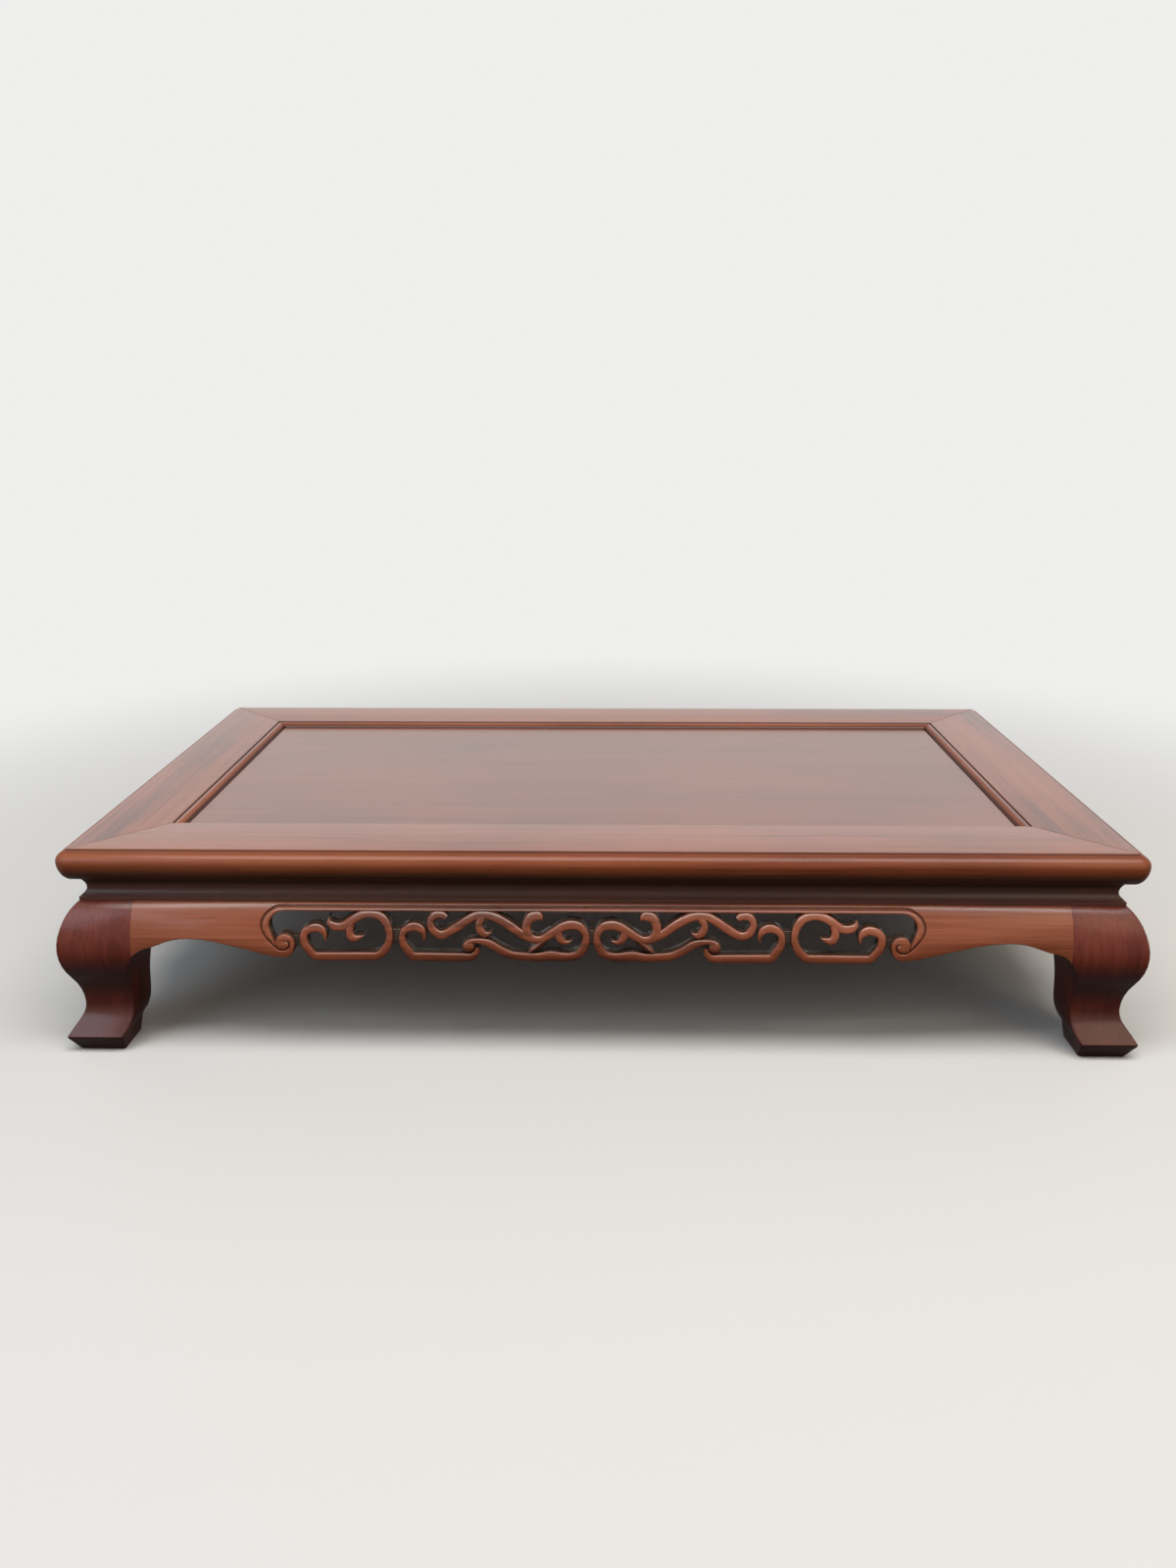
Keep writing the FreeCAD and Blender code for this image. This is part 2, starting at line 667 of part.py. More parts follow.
def build():
    """Every piece of the table by node name."""
    pieces = {}
    rail = front_rail()
    stile = left_stile()
    pieces["top_front_rail"] = rail
    pieces["top_back_rail"] = mirrored(rail, V(0, 1, 0))
    pieces["top_left_stile"] = stile
    pieces["top_right_stile"] = mirrored(stile, V(1, 0, 0))
    pieces["top_panel"] = panel()
    for name, place in zip(("left", "middle", "right"), BATTEN_PLACES):
        pieces["panel_batten_" + name] = batten(place)
    front_waist = waist(LENGTH / 2, DEPTH / 2)
    side_waist = turned(waist(DEPTH / 2, LENGTH / 2), -90)
    pieces["waist_front"] = front_waist
    pieces["waist_back"] = mirrored(front_waist, V(0, 1, 0))
    pieces["waist_left"] = side_waist
    pieces["waist_right"] = mirrored(side_waist, V(1, 0, 0))
    front_apron = apron(LENGTH / 2, DEPTH / 2, front_pattern(), FRONT_OPENING_HALF, CARVING_SHIFT)
    side_apron = turned(apron(DEPTH / 2, LENGTH / 2, side_pattern(), SIDE_OPENING_HALF, 0.0), -90)
    pieces["apron_front"] = front_apron
    pieces["apron_back"] = turned(front_apron, 180)
    pieces["apron_left"] = side_apron
    pieces["apron_right"] = turned(side_apron, 180)
    leg = left_front_leg()
    pieces["leg_front_left"] = leg
    pieces["leg_front_right"] = mirrored(leg, V(1, 0, 0))
    pieces["leg_back_left"] = mirrored(leg, V(0, 1, 0))
    pieces["leg_back_right"] = turned(leg, 180)
    return pieces


def main():
    os.makedirs("parts", exist_ok=True)
    for name, shape in build().items():
        solids = shape.Solids
        print(name, "solids", len(solids), "valid", shape.isValid(), "cm3", round(shape.Volume / 1000, 2))
        piece = solids[0] if len(solids) == 1 else shape
        piece.exportStep(os.path.join("parts", name + ".step"))


main()
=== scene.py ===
import bmesh
import bpy
import json
import math
from mathutils import Matrix, Vector

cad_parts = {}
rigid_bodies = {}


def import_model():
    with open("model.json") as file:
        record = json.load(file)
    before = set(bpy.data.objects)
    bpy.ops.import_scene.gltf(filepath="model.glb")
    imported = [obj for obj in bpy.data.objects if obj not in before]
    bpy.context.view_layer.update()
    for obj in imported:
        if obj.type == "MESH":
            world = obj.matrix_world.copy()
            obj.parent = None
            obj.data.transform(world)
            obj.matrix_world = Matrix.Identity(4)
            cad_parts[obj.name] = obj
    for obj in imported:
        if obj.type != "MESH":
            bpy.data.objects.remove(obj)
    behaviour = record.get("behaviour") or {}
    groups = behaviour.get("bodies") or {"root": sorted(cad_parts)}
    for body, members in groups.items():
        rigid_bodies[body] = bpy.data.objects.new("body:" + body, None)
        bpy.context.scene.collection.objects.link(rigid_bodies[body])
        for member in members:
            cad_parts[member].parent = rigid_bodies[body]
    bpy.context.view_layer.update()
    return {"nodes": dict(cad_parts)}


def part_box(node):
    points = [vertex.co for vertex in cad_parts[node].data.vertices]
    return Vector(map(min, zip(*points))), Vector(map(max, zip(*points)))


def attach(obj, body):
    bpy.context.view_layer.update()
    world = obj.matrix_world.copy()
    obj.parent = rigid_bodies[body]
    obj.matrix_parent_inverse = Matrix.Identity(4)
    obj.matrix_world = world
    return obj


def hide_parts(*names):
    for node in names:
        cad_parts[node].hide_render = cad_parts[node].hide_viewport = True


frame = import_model()
scene = bpy.context.scene
print("frame loaded:", len(frame["nodes"]), "nodes")

# Pieces are drawn in millimetres and scaled to metres at the end; camera, light and woods are in metres.
# "in" is measured inwards from the nose of the top's edge, as on the bench.
mm = 0.001
railLow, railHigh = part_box("top_front_rail")
table = {
    "noseX": -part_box("top_left_stile")[0].x / mm,
    "noseY": -railLow.y / mm,
    "top": railHigh.z / mm,
    "bed": railLow.z / mm,                            # underside of the top frame
    "panelTop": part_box("top_panel")[1].z / mm,
    "shoulder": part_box("apron_front")[1].z / mm,      # head of the legs and aprons
}
sides = {                                             # turn about the table's middle, half length, nose
    "front": (0, table["noseX"], table["noseY"]),
    "right": (90, table["noseY"], table["noseX"]),
    "back": (180, table["noseX"], table["noseY"]),
    "left": (-90, table["noseY"], table["noseX"]),
}


# Nodes: one method makes them, and a wire takes part in sums

class Wire:
    def __init__(self, sheet, socket):
        self.sheet = sheet
        self.socket = socket

    def other(self, out):                             # another output of the same node
        return Wire(self.sheet, self.socket.node.outputs[out])

    def sum(self, operation, first, second):
        return self.sheet.node("ShaderNodeMath", {"operation": operation}, {0: first, 1: second})

    def __add__(self, other):
        return self.sum("ADD", self, other)

    def __radd__(self, other):
        return self.sum("ADD", other, self)

    def __sub__(self, other):
        return self.sum("SUBTRACT", self, other)

    def __rsub__(self, other):
        return self.sum("SUBTRACT", other, self)

    def __mul__(self, other):
        return self.sum("MULTIPLY", self, other)

    def __rmul__(self, other):
        return self.sum("MULTIPLY", other, self)

    def __truediv__(self, other):
        return self.sum("DIVIDE", self, other)

    def __rtruediv__(self, other):
        return self.sum("DIVIDE", other, self)

    def __neg__(self):
        return self.sum("MULTIPLY", self, -1.0)

    def __abs__(self):
        return self.sum("ABSOLUTE", self, 0.0)


class NodeSheet:
    def __init__(self, tree):
        self.tree = tree

    def node(self, kind, settings=None, sockets=None, out=0):
        made = self.tree.nodes.new(kind)
        for name, value in (settings or {}).items():
            if name == "stops":
                self.setStops(made.color_ramp, value)
            elif name == "captured":
                made.capture_items.new(*value)
            else:
                setattr(made, name, value)
        for name, value in (sockets or {}).items():
            if isinstance(value, Wire):
                self.tree.links.new(value.socket, made.inputs[name])
            else:
                made.inputs[name].default_value = value
        return Wire(self, made.outputs[out]) if len(made.outputs) else made

    def setStops(self, ramp, stops):
        while len(ramp.elements) < len(stops):
            ramp.elements.new(1.0)
        for element, (place, shade) in zip(ramp.elements, stops):
            element.position = place
            element.color = shade

    def apart(self, vector):
        x = self.node("ShaderNodeSeparateXYZ", None, {0: vector})
        return x, x.other(1), x.other(2)

    def mixed(self, factor, first, second):
        return self.node("ShaderNodeMix", {"data_type": "RGBA"}, {0: factor, 6: first, 7: second}, out=2)

    def between(self, value, low, high, newLow=0.0, newHigh=1.0):
        sockets = {"Value": value, 1: low, 2: high, 3: newLow, 4: newHigh}
        return self.node("ShaderNodeMapRange", {"interpolation_type": "SMOOTHSTEP"}, sockets)


# Camera, light and floor

camera = {
    "place": (0.0117, -1.1574, 0.5267),
    "down": 0.3057,                                   # radians below the horizon
    "aside": 0.0216,                                  # radians to the left
    "roll": 0.0029,
    "lens": 27.75,
    "sensor": 36.0,                                   # along the picture's long side
}
cameraData = bpy.data.cameras.new("viewer")
cameraData.lens = camera["lens"]
cameraData.sensor_width = camera["sensor"]
viewer = bpy.data.objects.new("viewer", cameraData)
viewer.location = camera["place"]
facing = Matrix.Rotation(camera["aside"], 4, "Z") @ Matrix.Rotation(math.pi / 2 - camera["down"], 4, "X")
viewer.rotation_euler = (facing @ Matrix.Rotation(-camera["roll"], 4, "Z")).to_euler()
scene.collection.objects.link(viewer)
scene.camera = viewer
scene.view_settings.view_transform = "Standard"

studio = {
    "skyLight": 0.08,
    "skySeen": (0.86, 0.86, 0.85, 1.0),
    "floorHalf": 40.0,
    "floorSeen": (0.66, 0.655, 0.645, 1.0),
    "floorBounce": (0.03, 0.03, 0.03, 1.0),           # what the floor throws back up at the table
    "floorRough": 0.9,
    "floorShine": 0.2,
    "fade": (0.5, 1.5),                               # metres out, where the floor turns into the sky
    "lamps": {                                        # place, aim, width, height, watts, colour
        "overhead": ((0.1, -0.82, 2.3), (0.0, -0.1, 0.1), 2.9, 1.0, 64.0, (1.0, 0.98, 0.95)),
        "window": ((-1.6, -1.6, 1.3), (0.0, -0.2, 0.12), 1.2, 1.3, 11.0, (0.7, 0.85, 1.0)),
        "warmFill": ((1.3, -1.5, 1.3), (0.3, -0.2, 0.1), 1.3, 1.3, 8.0, (1.0, 0.76, 0.52)),
        "rearLeft": ((-2.1, 1.6, 1.15), (0.0, 0.1, 0.1), 2.2, 1.9, 12.0, (1.0, 0.97, 0.93)),
        "rearRight": ((2.1, 1.6, 1.15), (0.0, 0.1, 0.1), 2.2, 1.9, 12.0, (1.0, 0.97, 0.93)),
    },
    "noGlare": ("rearLeft", "rearRight"),             # these fill, and leave no glare on the lacquer
}


def makeLamp(name, place, aim, width, height, watts, colour):
    data = bpy.data.lights.new(name, "AREA")
    data.shape = "RECTANGLE"
    data.size = width
    data.size_y = height
    data.energy = watts
    data.color = colour
    lamp = bpy.data.objects.new(name, data)
    lamp.location = place
    lamp.rotation_mode = "QUATERNION"
    lamp.rotation_quaternion = (Vector(aim) - Vector(place)).to_track_quat("-Z", "Y")
    lamp.visible_glossy = name not in studio["noGlare"]
    scene.collection.objects.link(lamp)


def seenRay(sheet):                                   # looked at, straight or by way of a shine or glass
    straight = sheet.node("ShaderNodeLightPath", out="Is Camera Ray")
    bent = straight.sum("MAXIMUM", straight.other("Is Glossy Ray"), straight.other("Is Transmission Ray"))
    return straight.sum("MAXIMUM", straight, bent)


def makeSky():
    world = bpy.data.worlds.new("studioSky")
    world.use_nodes = True
    world.node_tree.nodes.clear()
    sheet = NodeSheet(world.node_tree)
    white = (1.0, 1.0, 1.0, 1.0)
    light = sheet.node("ShaderNodeBackground", None, {"Color": white, "Strength": studio["skyLight"]})
    shown = sheet.node("ShaderNodeBackground", None, {"Color": studio["skySeen"], "Strength": 1.0})
    surface = sheet.node("ShaderNodeMixShader", None, {0: seenRay(sheet), 1: light, 2: shown})
    sheet.node("ShaderNodeOutputWorld", None, {"Surface": surface})
    scene.world = world


def makeFloor():
    half = studio["floorHalf"]
    mesh = bpy.data.meshes.new("floor")
    corners = [(-half, -half, 0), (half, -half, 0), (half, half, 0), (-half, half, 0)]
    mesh.from_pydata(corners, [], [(0, 1, 2, 3)])
    paint = bpy.data.materials.new("paleFloor")
    paint.use_nodes = True
    paint.node_tree.nodes.clear()
    sheet = NodeSheet(paint.node_tree)
    seen = seenRay(sheet)
    place = sheet.node("ShaderNodeTexCoord", out="Object")
    away = sheet.node("ShaderNodeVectorMath", {"operation": "LENGTH"}, {0: place}, out="Value")
    colour = sheet.mixed(seen, studio["floorBounce"], studio["floorSeen"])
    near = sheet.node("ShaderNodeBsdfPrincipled", None, {
        "Base Color": colour, "Roughness": studio["floorRough"], "Specular IOR Level": studio["floorShine"]})
    far = sheet.node("ShaderNodeEmission", None, {"Color": studio["skySeen"], "Strength": 1.0})
    share = seen * sheet.between(away, *studio["fade"])
    surface = sheet.node("ShaderNodeMixShader", None, {0: share, 1: near, 2: far})
    sheet.node("ShaderNodeOutputMaterial", None, {"Surface": surface})
    mesh.materials.append(paint)
    floor = bpy.data.objects.new("floor", mesh)
    scene.collection.objects.link(floor)


for lampName, lampFacts in studio["lamps"].items():
    makeLamp(lampName, *lampFacts)
makeSky()
makeFloor()
print("camera, light and floor set")


# Curves: points with headings in degrees, joined by pairs of tangent arcs

curveStep = {"turn": math.radians(8), "run": 14.0}
corner = {"least": math.radians(15), "most": 0.45, "steps": 3}  # least turn to round, most share of a side
straightEnough = 1e-6


def clamped(value):
    return min(1.0, max(0.0, value))


def pointing(degrees):
    return Vector((math.cos(math.radians(degrees)), math.sin(math.radians(degrees))))


def swung(v, angle):
    c, s = math.cos(angle), math.sin(angle)
    return Vector((v.x * c - v.y * s, v.x * s + v.y * c))


def arcStations(start, along, end):
    chord = end - start
    halfTurn = math.atan2(along.x * chord.y - along.y * chord.x, along.dot(chord))
    byTurn = math.ceil(abs(2 * halfTurn) / curveStep["turn"])
    count = max(2, byTurn, math.ceil(chord.length / curveStep["run"]))
    stations = []
    for k in range(1, count + 1):
        bend = halfTurn * k / count
        share = k / count if abs(halfTurn) < straightEnough else math.sin(bend) / math.sin(halfTurn)
        stations.append((start + swung(along, bend) * chord.length * share, swung(along, 2 * bend)))
    return stations


def flow(points):                                     # spots, tangents and how far between the points
    stations = [(Vector(points[0][:2]), pointing(points[0][2]), 0.0)]
    for k, (first, second) in enumerate(zip(points, points[1:])):
        start, end = Vector(first[:2]), Vector(second[:2])
        out, home = pointing(first[2]), pointing(second[2])
        gap = end - start
        both = gap.dot(out + home)
        bend = 1 - out.dot(home)
        if bend < straightEnough:
            reach = gap.dot(gap) / (2 * both)
        else:
            reach = (math.sqrt(both * both + 2 * bend * gap.dot(gap)) - both) / (2 * bend)
        cornerOut, cornerHome = start + out * reach, end - home * reach
        middle = (cornerOut + cornerHome) / 2
        crossing = (cornerHome - cornerOut).normalized()
        arcs = (arcStations(start, out, middle), arcStations(middle, crossing, end))
        for half, arc in enumerate(arcs):
            for j, (spot, along) in enumerate(arc):
                stations.append((spot, along, k + (half + (j + 1) / len(arc)) / 2))
    return stations


def flowSpots(points):
    return [spot for spot, along, share in flow(points)]


def spots(*pairs):
    return [Vector(pair) for pair in pairs]


def eased(outline, radius):                           # rounds the sharp corners of a closed outline
    soft = []
    for k, spot in enumerate(outline):
        before = outline[k - 1] - spot
        after = outline[(k + 1) % len(outline)] - spot
        turn = math.pi - before.angle(after)
        if turn < corner["least"]:
            soft.append(spot)
            continue
        room = corner["most"] * min(before.length, after.length)
        cut = min(radius * math.tan(turn / 2), room)
        first, last = spot + before.normalized() * cut, spot + after.normalized() * cut
        for step in range(corner["steps"] + 1):
            t = step / corner["steps"]
            soft.append(first * (1 - t) ** 2 + spot * (2 * t * (1 - t)) + last * t ** 2)
    return soft


def inset(outline, amount):                           # moves a closed outline towards its inside
    pairs = list(zip(outline, outline[1:] + outline[:1]))
    inward = 1 if sum(a.x * b.y - b.x * a.y for a, b in pairs) > 0 else -1
    drawnIn = []
    for k, spot in enumerate(outline):
        along = (outline[(k + 1) % len(outline)] - outline[k - 1]).normalized()
        drawnIn.append(spot + Vector((-along.y, along.x)) * inward * amount)
    return drawnIn


def mirrored(line):
    return [Vector((-spot.x, spot.y)) for spot in reversed(line)]


def moved(points, along):
    return [(point[0] + along,) + tuple(point[1:]) for point in points]


def flipped(line, flip, shift):                       # to one half of a pattern, or the other
    return [Vector((spot.x * flip + shift, spot.y)) for spot in line]


# Meshes

plainCrease = 30                                      # degrees, past which an edge is drawn sharp


def loft(rings):
    shell = bmesh.new()
    rows = [[shell.verts.new(spot) for spot in ring] for ring in rings]
    for near, far in zip(rows, rows[1:]):
        for k in range(len(near)):
            shell.faces.new((near[k - 1], near[k], far[k], far[k - 1]))
    shell.faces.new(rows[0])
    shell.faces.new(rows[-1][::-1])
    bmesh.ops.recalc_face_normals(shell, faces=shell.faces)
    return shell


def shellObject(name, shell):
    mesh = bpy.data.meshes.new(name)
    shell.to_mesh(mesh)
    shell.free()
    made = bpy.data.objects.new(name, mesh)
    scene.collection.objects.link(made)
    return made


def dress(piece, node, wood, crease=plainCrease):
    mesh = piece.data
    mesh.materials.clear()
    mesh.materials.append(wood)
    mesh.polygons.foreach_set("use_smooth", [True] * len(mesh.polygons))
    mesh.set_sharp_from_angle(angle=math.radians(crease))
    upward = mesh.attributes.new("upward", "FLOAT", "CORNER")
    upward.data.foreach_set("value", [normal.vector.z for normal in mesh.corner_normals])
    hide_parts(node)
    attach(piece, "root")


def settle(piece, turn):                              # millimetres to metres, and round to its side
    piece.data.transform(Matrix.Rotation(math.radians(turn), 4, "Z") @ Matrix.Scale(mm, 4))


# Rosewood: one recipe, with its grain along X, Y or Z

grainTurn = {"X": (0.0, 0.0, 0.0), "Y": (0.0, 0.0, math.pi / 2), "Z": (0.0, math.pi / 2, 0.0)}
# each noise has a scale, a stretch along the grain, detail, roughness and twist
recipe = {
    "figure": (26.0, 14.0, 4.0, 0.6, 0.5),            # broad bands
    "streak": (330.0, 45.0, 4.0, 0.65, 0.0),          # fine lines along the grain
    "pores": (700.0, 22.0, 2.0, 0.55, 0.0),
    "cloud": (7.0, 1.6, 3.0, 0.55, 0.0),              # uneven stain and wear
    "middle": 0.5,                                    # of every noise
    "stops": (0.28, 0.5, 0.74),                       # of the dark, mid and light shades
    "poreEdge": (0.6, 0.72),
    "cloudRough": 0.16,
    "poreRough": 0.1,
    "dullRough": 0.3,                                 # added in hollows and in the lines of mouldings
    "streakRelief": 0.4,
    "poreRelief": 0.6,
    "reliefHeight": 0.0004,
    "footTop": (0.1, 0.5),                            # how upward the top of a foot looks
}


def rosewood(name, facts, axis):
    wood = bpy.data.materials.new(name + "Along" + axis)
    wood.use_nodes = True
    wood.node_tree.nodes.clear()
    sheet = NodeSheet(wood.node_tree)
    place = sheet.node("ShaderNodeTexCoord", out="Object")
    lined = sheet.node("ShaderNodeMapping", None, {"Vector": place, "Rotation": grainTurn[axis]})

    def noise(kind):
        scale, stretch, detail, rough, twist = recipe[kind]
        drawn = sheet.node("ShaderNodeVectorMath", {"operation": "MULTIPLY"},
                           {0: lined, 1: (1.0 / stretch, 1.0, 1.0)})
        return sheet.node("ShaderNodeTexNoise", None, {
            "Vector": drawn, "Scale": scale, "Detail": detail, "Roughness": rough, "Distortion": twist})

    middle = recipe["middle"]
    figure, streak, cloud = noise("figure"), noise("streak"), noise("cloud")
    tone = middle + (figure - middle) * facts["figure"] + (streak - middle) * facts["streak"]
    tone = tone + (cloud - middle) * facts["cloud"]
    shades = list(zip(recipe["stops"], (facts["dark"], facts["mid"], facts["light"])))
    colour = sheet.node("ShaderNodeValToRGB", {"stops": shades}, {"Fac": tone})
    pores = sheet.between(noise("pores"), *recipe["poreEdge"])
    colour = sheet.mixed(pores * facts["poreDepth"], colour, facts["dark"])
    rough = facts["rough"] + (cloud - middle) * recipe["cloudRough"] + pores * recipe["poreRough"]
    if "hollow" in facts:                             # carving darker and duller with depth: dusty sides, and painted shade in the recesses
        depth = sheet.node("ShaderNodeAttribute", {"attribute_name": "carveDepth"}, out="Fac")
        deep = sheet.between(depth, *facts["hollow"])
        colour = sheet.mixed(deep, colour, facts["hollowDustAndShade"])
        rough = rough + deep * recipe["dullRough"]
    x, y, height = sheet.apart(place)
    if "quirks" in facts:                             # dark lines round the top, in from its nose; the outermost is painted shade on the nose
        inward = x.sum("MINIMUM", table["noseX"] * mm - abs(x), table["noseY"] * mm - abs(y))
        for line, outside, inside, weight in facts["quirks"]:
            lineShadeMask = sheet.between(abs(inward - line), outside, inside, 0.0, weight)
            colour = sheet.mixed(lineShadeMask, colour, facts["darkLineAndShade"])
            rough = rough + lineShadeMask * recipe["dullRough"]
    upward = sheet.node("ShaderNodeAttribute", {"attribute_name": "upward"}, out="Fac")
    if "under" in facts:                              # painted shade: faces that look down are darkened
        colour = sheet.mixed(sheet.between(upward, *facts["under"]), colour, facts["underShade"])
    relief = streak * recipe["streakRelief"] - pores * recipe["poreRelief"]
    normal = sheet.node("ShaderNodeBump", None, {
        "Height": relief, "Strength": facts["relief"], "Distance": recipe["reliefHeight"]})
    coat = facts.get("coatAll", 0.0)
    for stretch in facts.get("coat", ()):             # from and to how upward, and the weights there
        coat = coat + sheet.between(upward, *stretch)
    if "paintedFootShade" in facts:                          # painted shade darkens the feet towards the floor, and they shine on top
        colour = sheet.mixed(sheet.between(height, *facts["paintedFootShade"]), colour, facts["underShade"])
        footTop = sheet.between(upward, *recipe["footTop"])
        coat = coat + sheet.between(height, *facts["footShine"]) * footTop
    shader = sheet.node("ShaderNodeBsdfPrincipled", None, {
        "Base Color": colour, "Roughness": rough, "Normal": normal, "Specular IOR Level": facts["shine"],
        "Coat Weight": coat, "Coat Roughness": facts["gloss"], "Coat IOR": facts["lacquer"]})
    sheet.node("ShaderNodeOutputMaterial", None, {"Surface": shader})
    return wood


woods = {
    "frame_wood": {
        "dark": (0.09, 0.02, 0.009, 1), "mid": (0.222, 0.054, 0.02, 1), "light": (0.29, 0.082, 0.034, 1),
        "figure": 0.85, "streak": 0.55, "cloud": 0.55, "poreDepth": 0.4, "relief": 0.12,
        "rough": 0.36, "shine": 0.06, "coat": ((-0.1, 0.5, 0.01, 0.18), (0.95, 1.0, 0.0, 0.82)),
        "lacquer": 1.79, "gloss": 0.18,
        "quirks": ((0.007, 0.003, 0.0005, 0.35), (0.0092, 0.0011, 0.0004, 0.6),
                   (0.0752, 0.0013, 0.0005, 0.85), (0.083, 0.0022, 0.0008, 0.9)),
        "darkLineAndShade": (0.045, 0.014, 0.008, 1),       # dark lines at the quirks and the panel's joint, and painted shade on the nose's upper strip
        "under": (-0.15, -0.55, 0.0, 0.85), "underShade": (0.02, 0.007, 0.004, 1)},
    "panel_wood": {
        "dark": (0.1, 0.026, 0.012, 1), "mid": (0.18, 0.05, 0.024, 1), "light": (0.24, 0.076, 0.04, 1),
        "figure": 0.3, "streak": 0.15, "cloud": 0.5, "poreDepth": 0.2, "relief": 0.06,
        "rough": 0.36, "shine": 0.06, "coatAll": 1.0, "lacquer": 2.0, "gloss": 0.2},
    "waist_wood": {
        # darker than the frame's wood: painted shade under the top's overhang
        "dark": (0.04, 0.018, 0.014, 1), "mid": (0.11, 0.043, 0.03, 1), "light": (0.15, 0.062, 0.045, 1),
        "figure": 0.5, "streak": 0.25, "cloud": 0.35, "poreDepth": 0.35, "relief": 0.15,
        "rough": 0.45, "shine": 0.1, "coat": ((-0.1, 0.95, 0.05, 0.45),), "lacquer": 1.6, "gloss": 0.2,
        "under": (-0.1, -0.5, 0.0, 0.7), "underShade": (0.02, 0.008, 0.005, 1)},
    "apron_wood": {
        "dark": (0.1, 0.025, 0.01, 1), "mid": (0.24, 0.062, 0.026, 1), "light": (0.32, 0.095, 0.045, 1),
        "figure": 0.85, "streak": 0.65, "cloud": 0.7, "poreDepth": 0.35, "relief": 0.15,
        "hollow": (1.2, 2.8), "hollowDustAndShade": (0.04, 0.022, 0.014, 1),  # millimetres below the carved face
        "rough": 0.4, "shine": 0.08, "coat": ((-0.1, 0.8, 0.03, 0.45), (0.64, 0.8, 0.0, 0.4)),
        "lacquer": 1.72, "gloss": 0.24,
        "under": (-0.15, -0.7, 0.0, 0.7), "underShade": (0.04, 0.016, 0.01, 1)},
    "leg_wood": {
        "dark": (0.09, 0.015, 0.009, 1), "mid": (0.19, 0.038, 0.023, 1), "light": (0.26, 0.064, 0.041, 1),
        "figure": 0.55, "streak": 0.4, "cloud": 0.6, "poreDepth": 0.3, "relief": 0.12,
        "rough": 0.36, "shine": 0.06, "coat": ((-0.1, 0.6, 0.02, 0.34),), "lacquer": 1.75, "gloss": 0.22,
        "paintedFootShade": (0.08, 0.025, 0.0, 0.6), "footShine": (0.045, 0.028, 0.0, 0.04),
        "under": (0.0, -0.42, 0.0, 0.85), "underShade": (0.02, 0.004, 0.003, 1)},
    "batten_wood": {
        "dark": (0.16, 0.07, 0.04, 1), "mid": (0.27, 0.13, 0.08, 1), "light": (0.36, 0.19, 0.12, 1),
        "figure": 0.55, "streak": 0.25, "cloud": 0.35, "poreDepth": 0.4, "relief": 0.3,
        "rough": 0.65, "shine": 0.3, "lacquer": 1.5, "gloss": 0.4},
}
timber = {}
for slotName, axes in {"frame_wood": "XY", "panel_wood": "X", "waist_wood": "XY",
                       "apron_wood": "XY", "leg_wood": "Z", "batten_wood": "Y"}.items():
    for grain in axes:
        timber[slotName, grain] = rosewood(slotName.split("_")[0] + "Wood", woods[slotName], grain)
sideGrain = {"front": "X", "back": "X", "left": "Y", "right": "Y"}
print("woods made:", len(timber))


# Top frame: four members swept along a mitred path with rounded corners

mitreRun = 2.0                                        # between the rings beside a mitre
topFrame = {
    "width": 83.5,
    "flatIn": 9.5,
    "noseDrop": 10.5,
    "noseHeadings": (165, 90, 16),                    # at the bed, the nose and the quirk
    "quirk": (8.7, 1.0),                              # where the nose starts: in, and below the flat
    "quirkFoot": (9.2, 1.25),
    "bedIn": 11.0,
    "cornerRadius": 10.0,
    "cornerMargin": 4.0,                              # flat that stays square inside the round corner
    "cornerSteps": 6,
    "thumbWidth": 9.0,
    "thumbHeading": 12,
    "thumbQuirk": (0.5, 1.2),                         # on from the flat, and below it
    "grooveDepth": 9.0,
    "grooveThick": 5.0,
    "grooveDrop": 4.0,
    "edgeEase": 0.5,
    "mitreGap": 0.2,
    "mitreEase": 0.35,
    "crease": 24,
}
frameNodes = {
    "front": "top_front_rail",
    "back": "top_back_rail",
    "left": "top_left_stile",
    "right": "top_right_stile",
}


def frameOutline():
    facts = topFrame
    top, bed, width = table["top"], table["bed"], facts["width"]
    thumbIn = width - facts["thumbWidth"]
    grooveTop = table["panelTop"] - facts["grooveDrop"]
    grooveLow = grooveTop - facts["grooveThick"]
    start, foot = facts["quirk"], facts["quirkFoot"]
    bedTurn, noseTurn, quirkTurn = facts["noseHeadings"]
    nose = (
        (facts["bedIn"], bed, bedTurn),
        (0, top - facts["noseDrop"], noseTurn),
        (start[0], top - start[1], quirkTurn),
    )
    outline = flowSpots(nose) + spots((foot[0], top - foot[1]), (facts["flatIn"], top))
    outline += spots((facts["cornerRadius"] + facts["cornerMargin"], top), (thumbIn, top))
    beside, below = facts["thumbQuirk"]
    thumbStart = Vector((thumbIn + beside, top - below))
    thumbEnd = Vector((width, table["panelTop"]))
    thumb = arcStations(thumbStart, pointing(facts["thumbHeading"]), thumbEnd)
    outline += [thumbStart] + [spot for spot, along in thumb]
    outline += spots((width, grooveTop), (width - facts["grooveDepth"], grooveTop))
    outline += spots((width - facts["grooveDepth"], grooveLow), (width, grooveLow), (width, bed))
    return eased(outline, facts["edgeEase"])


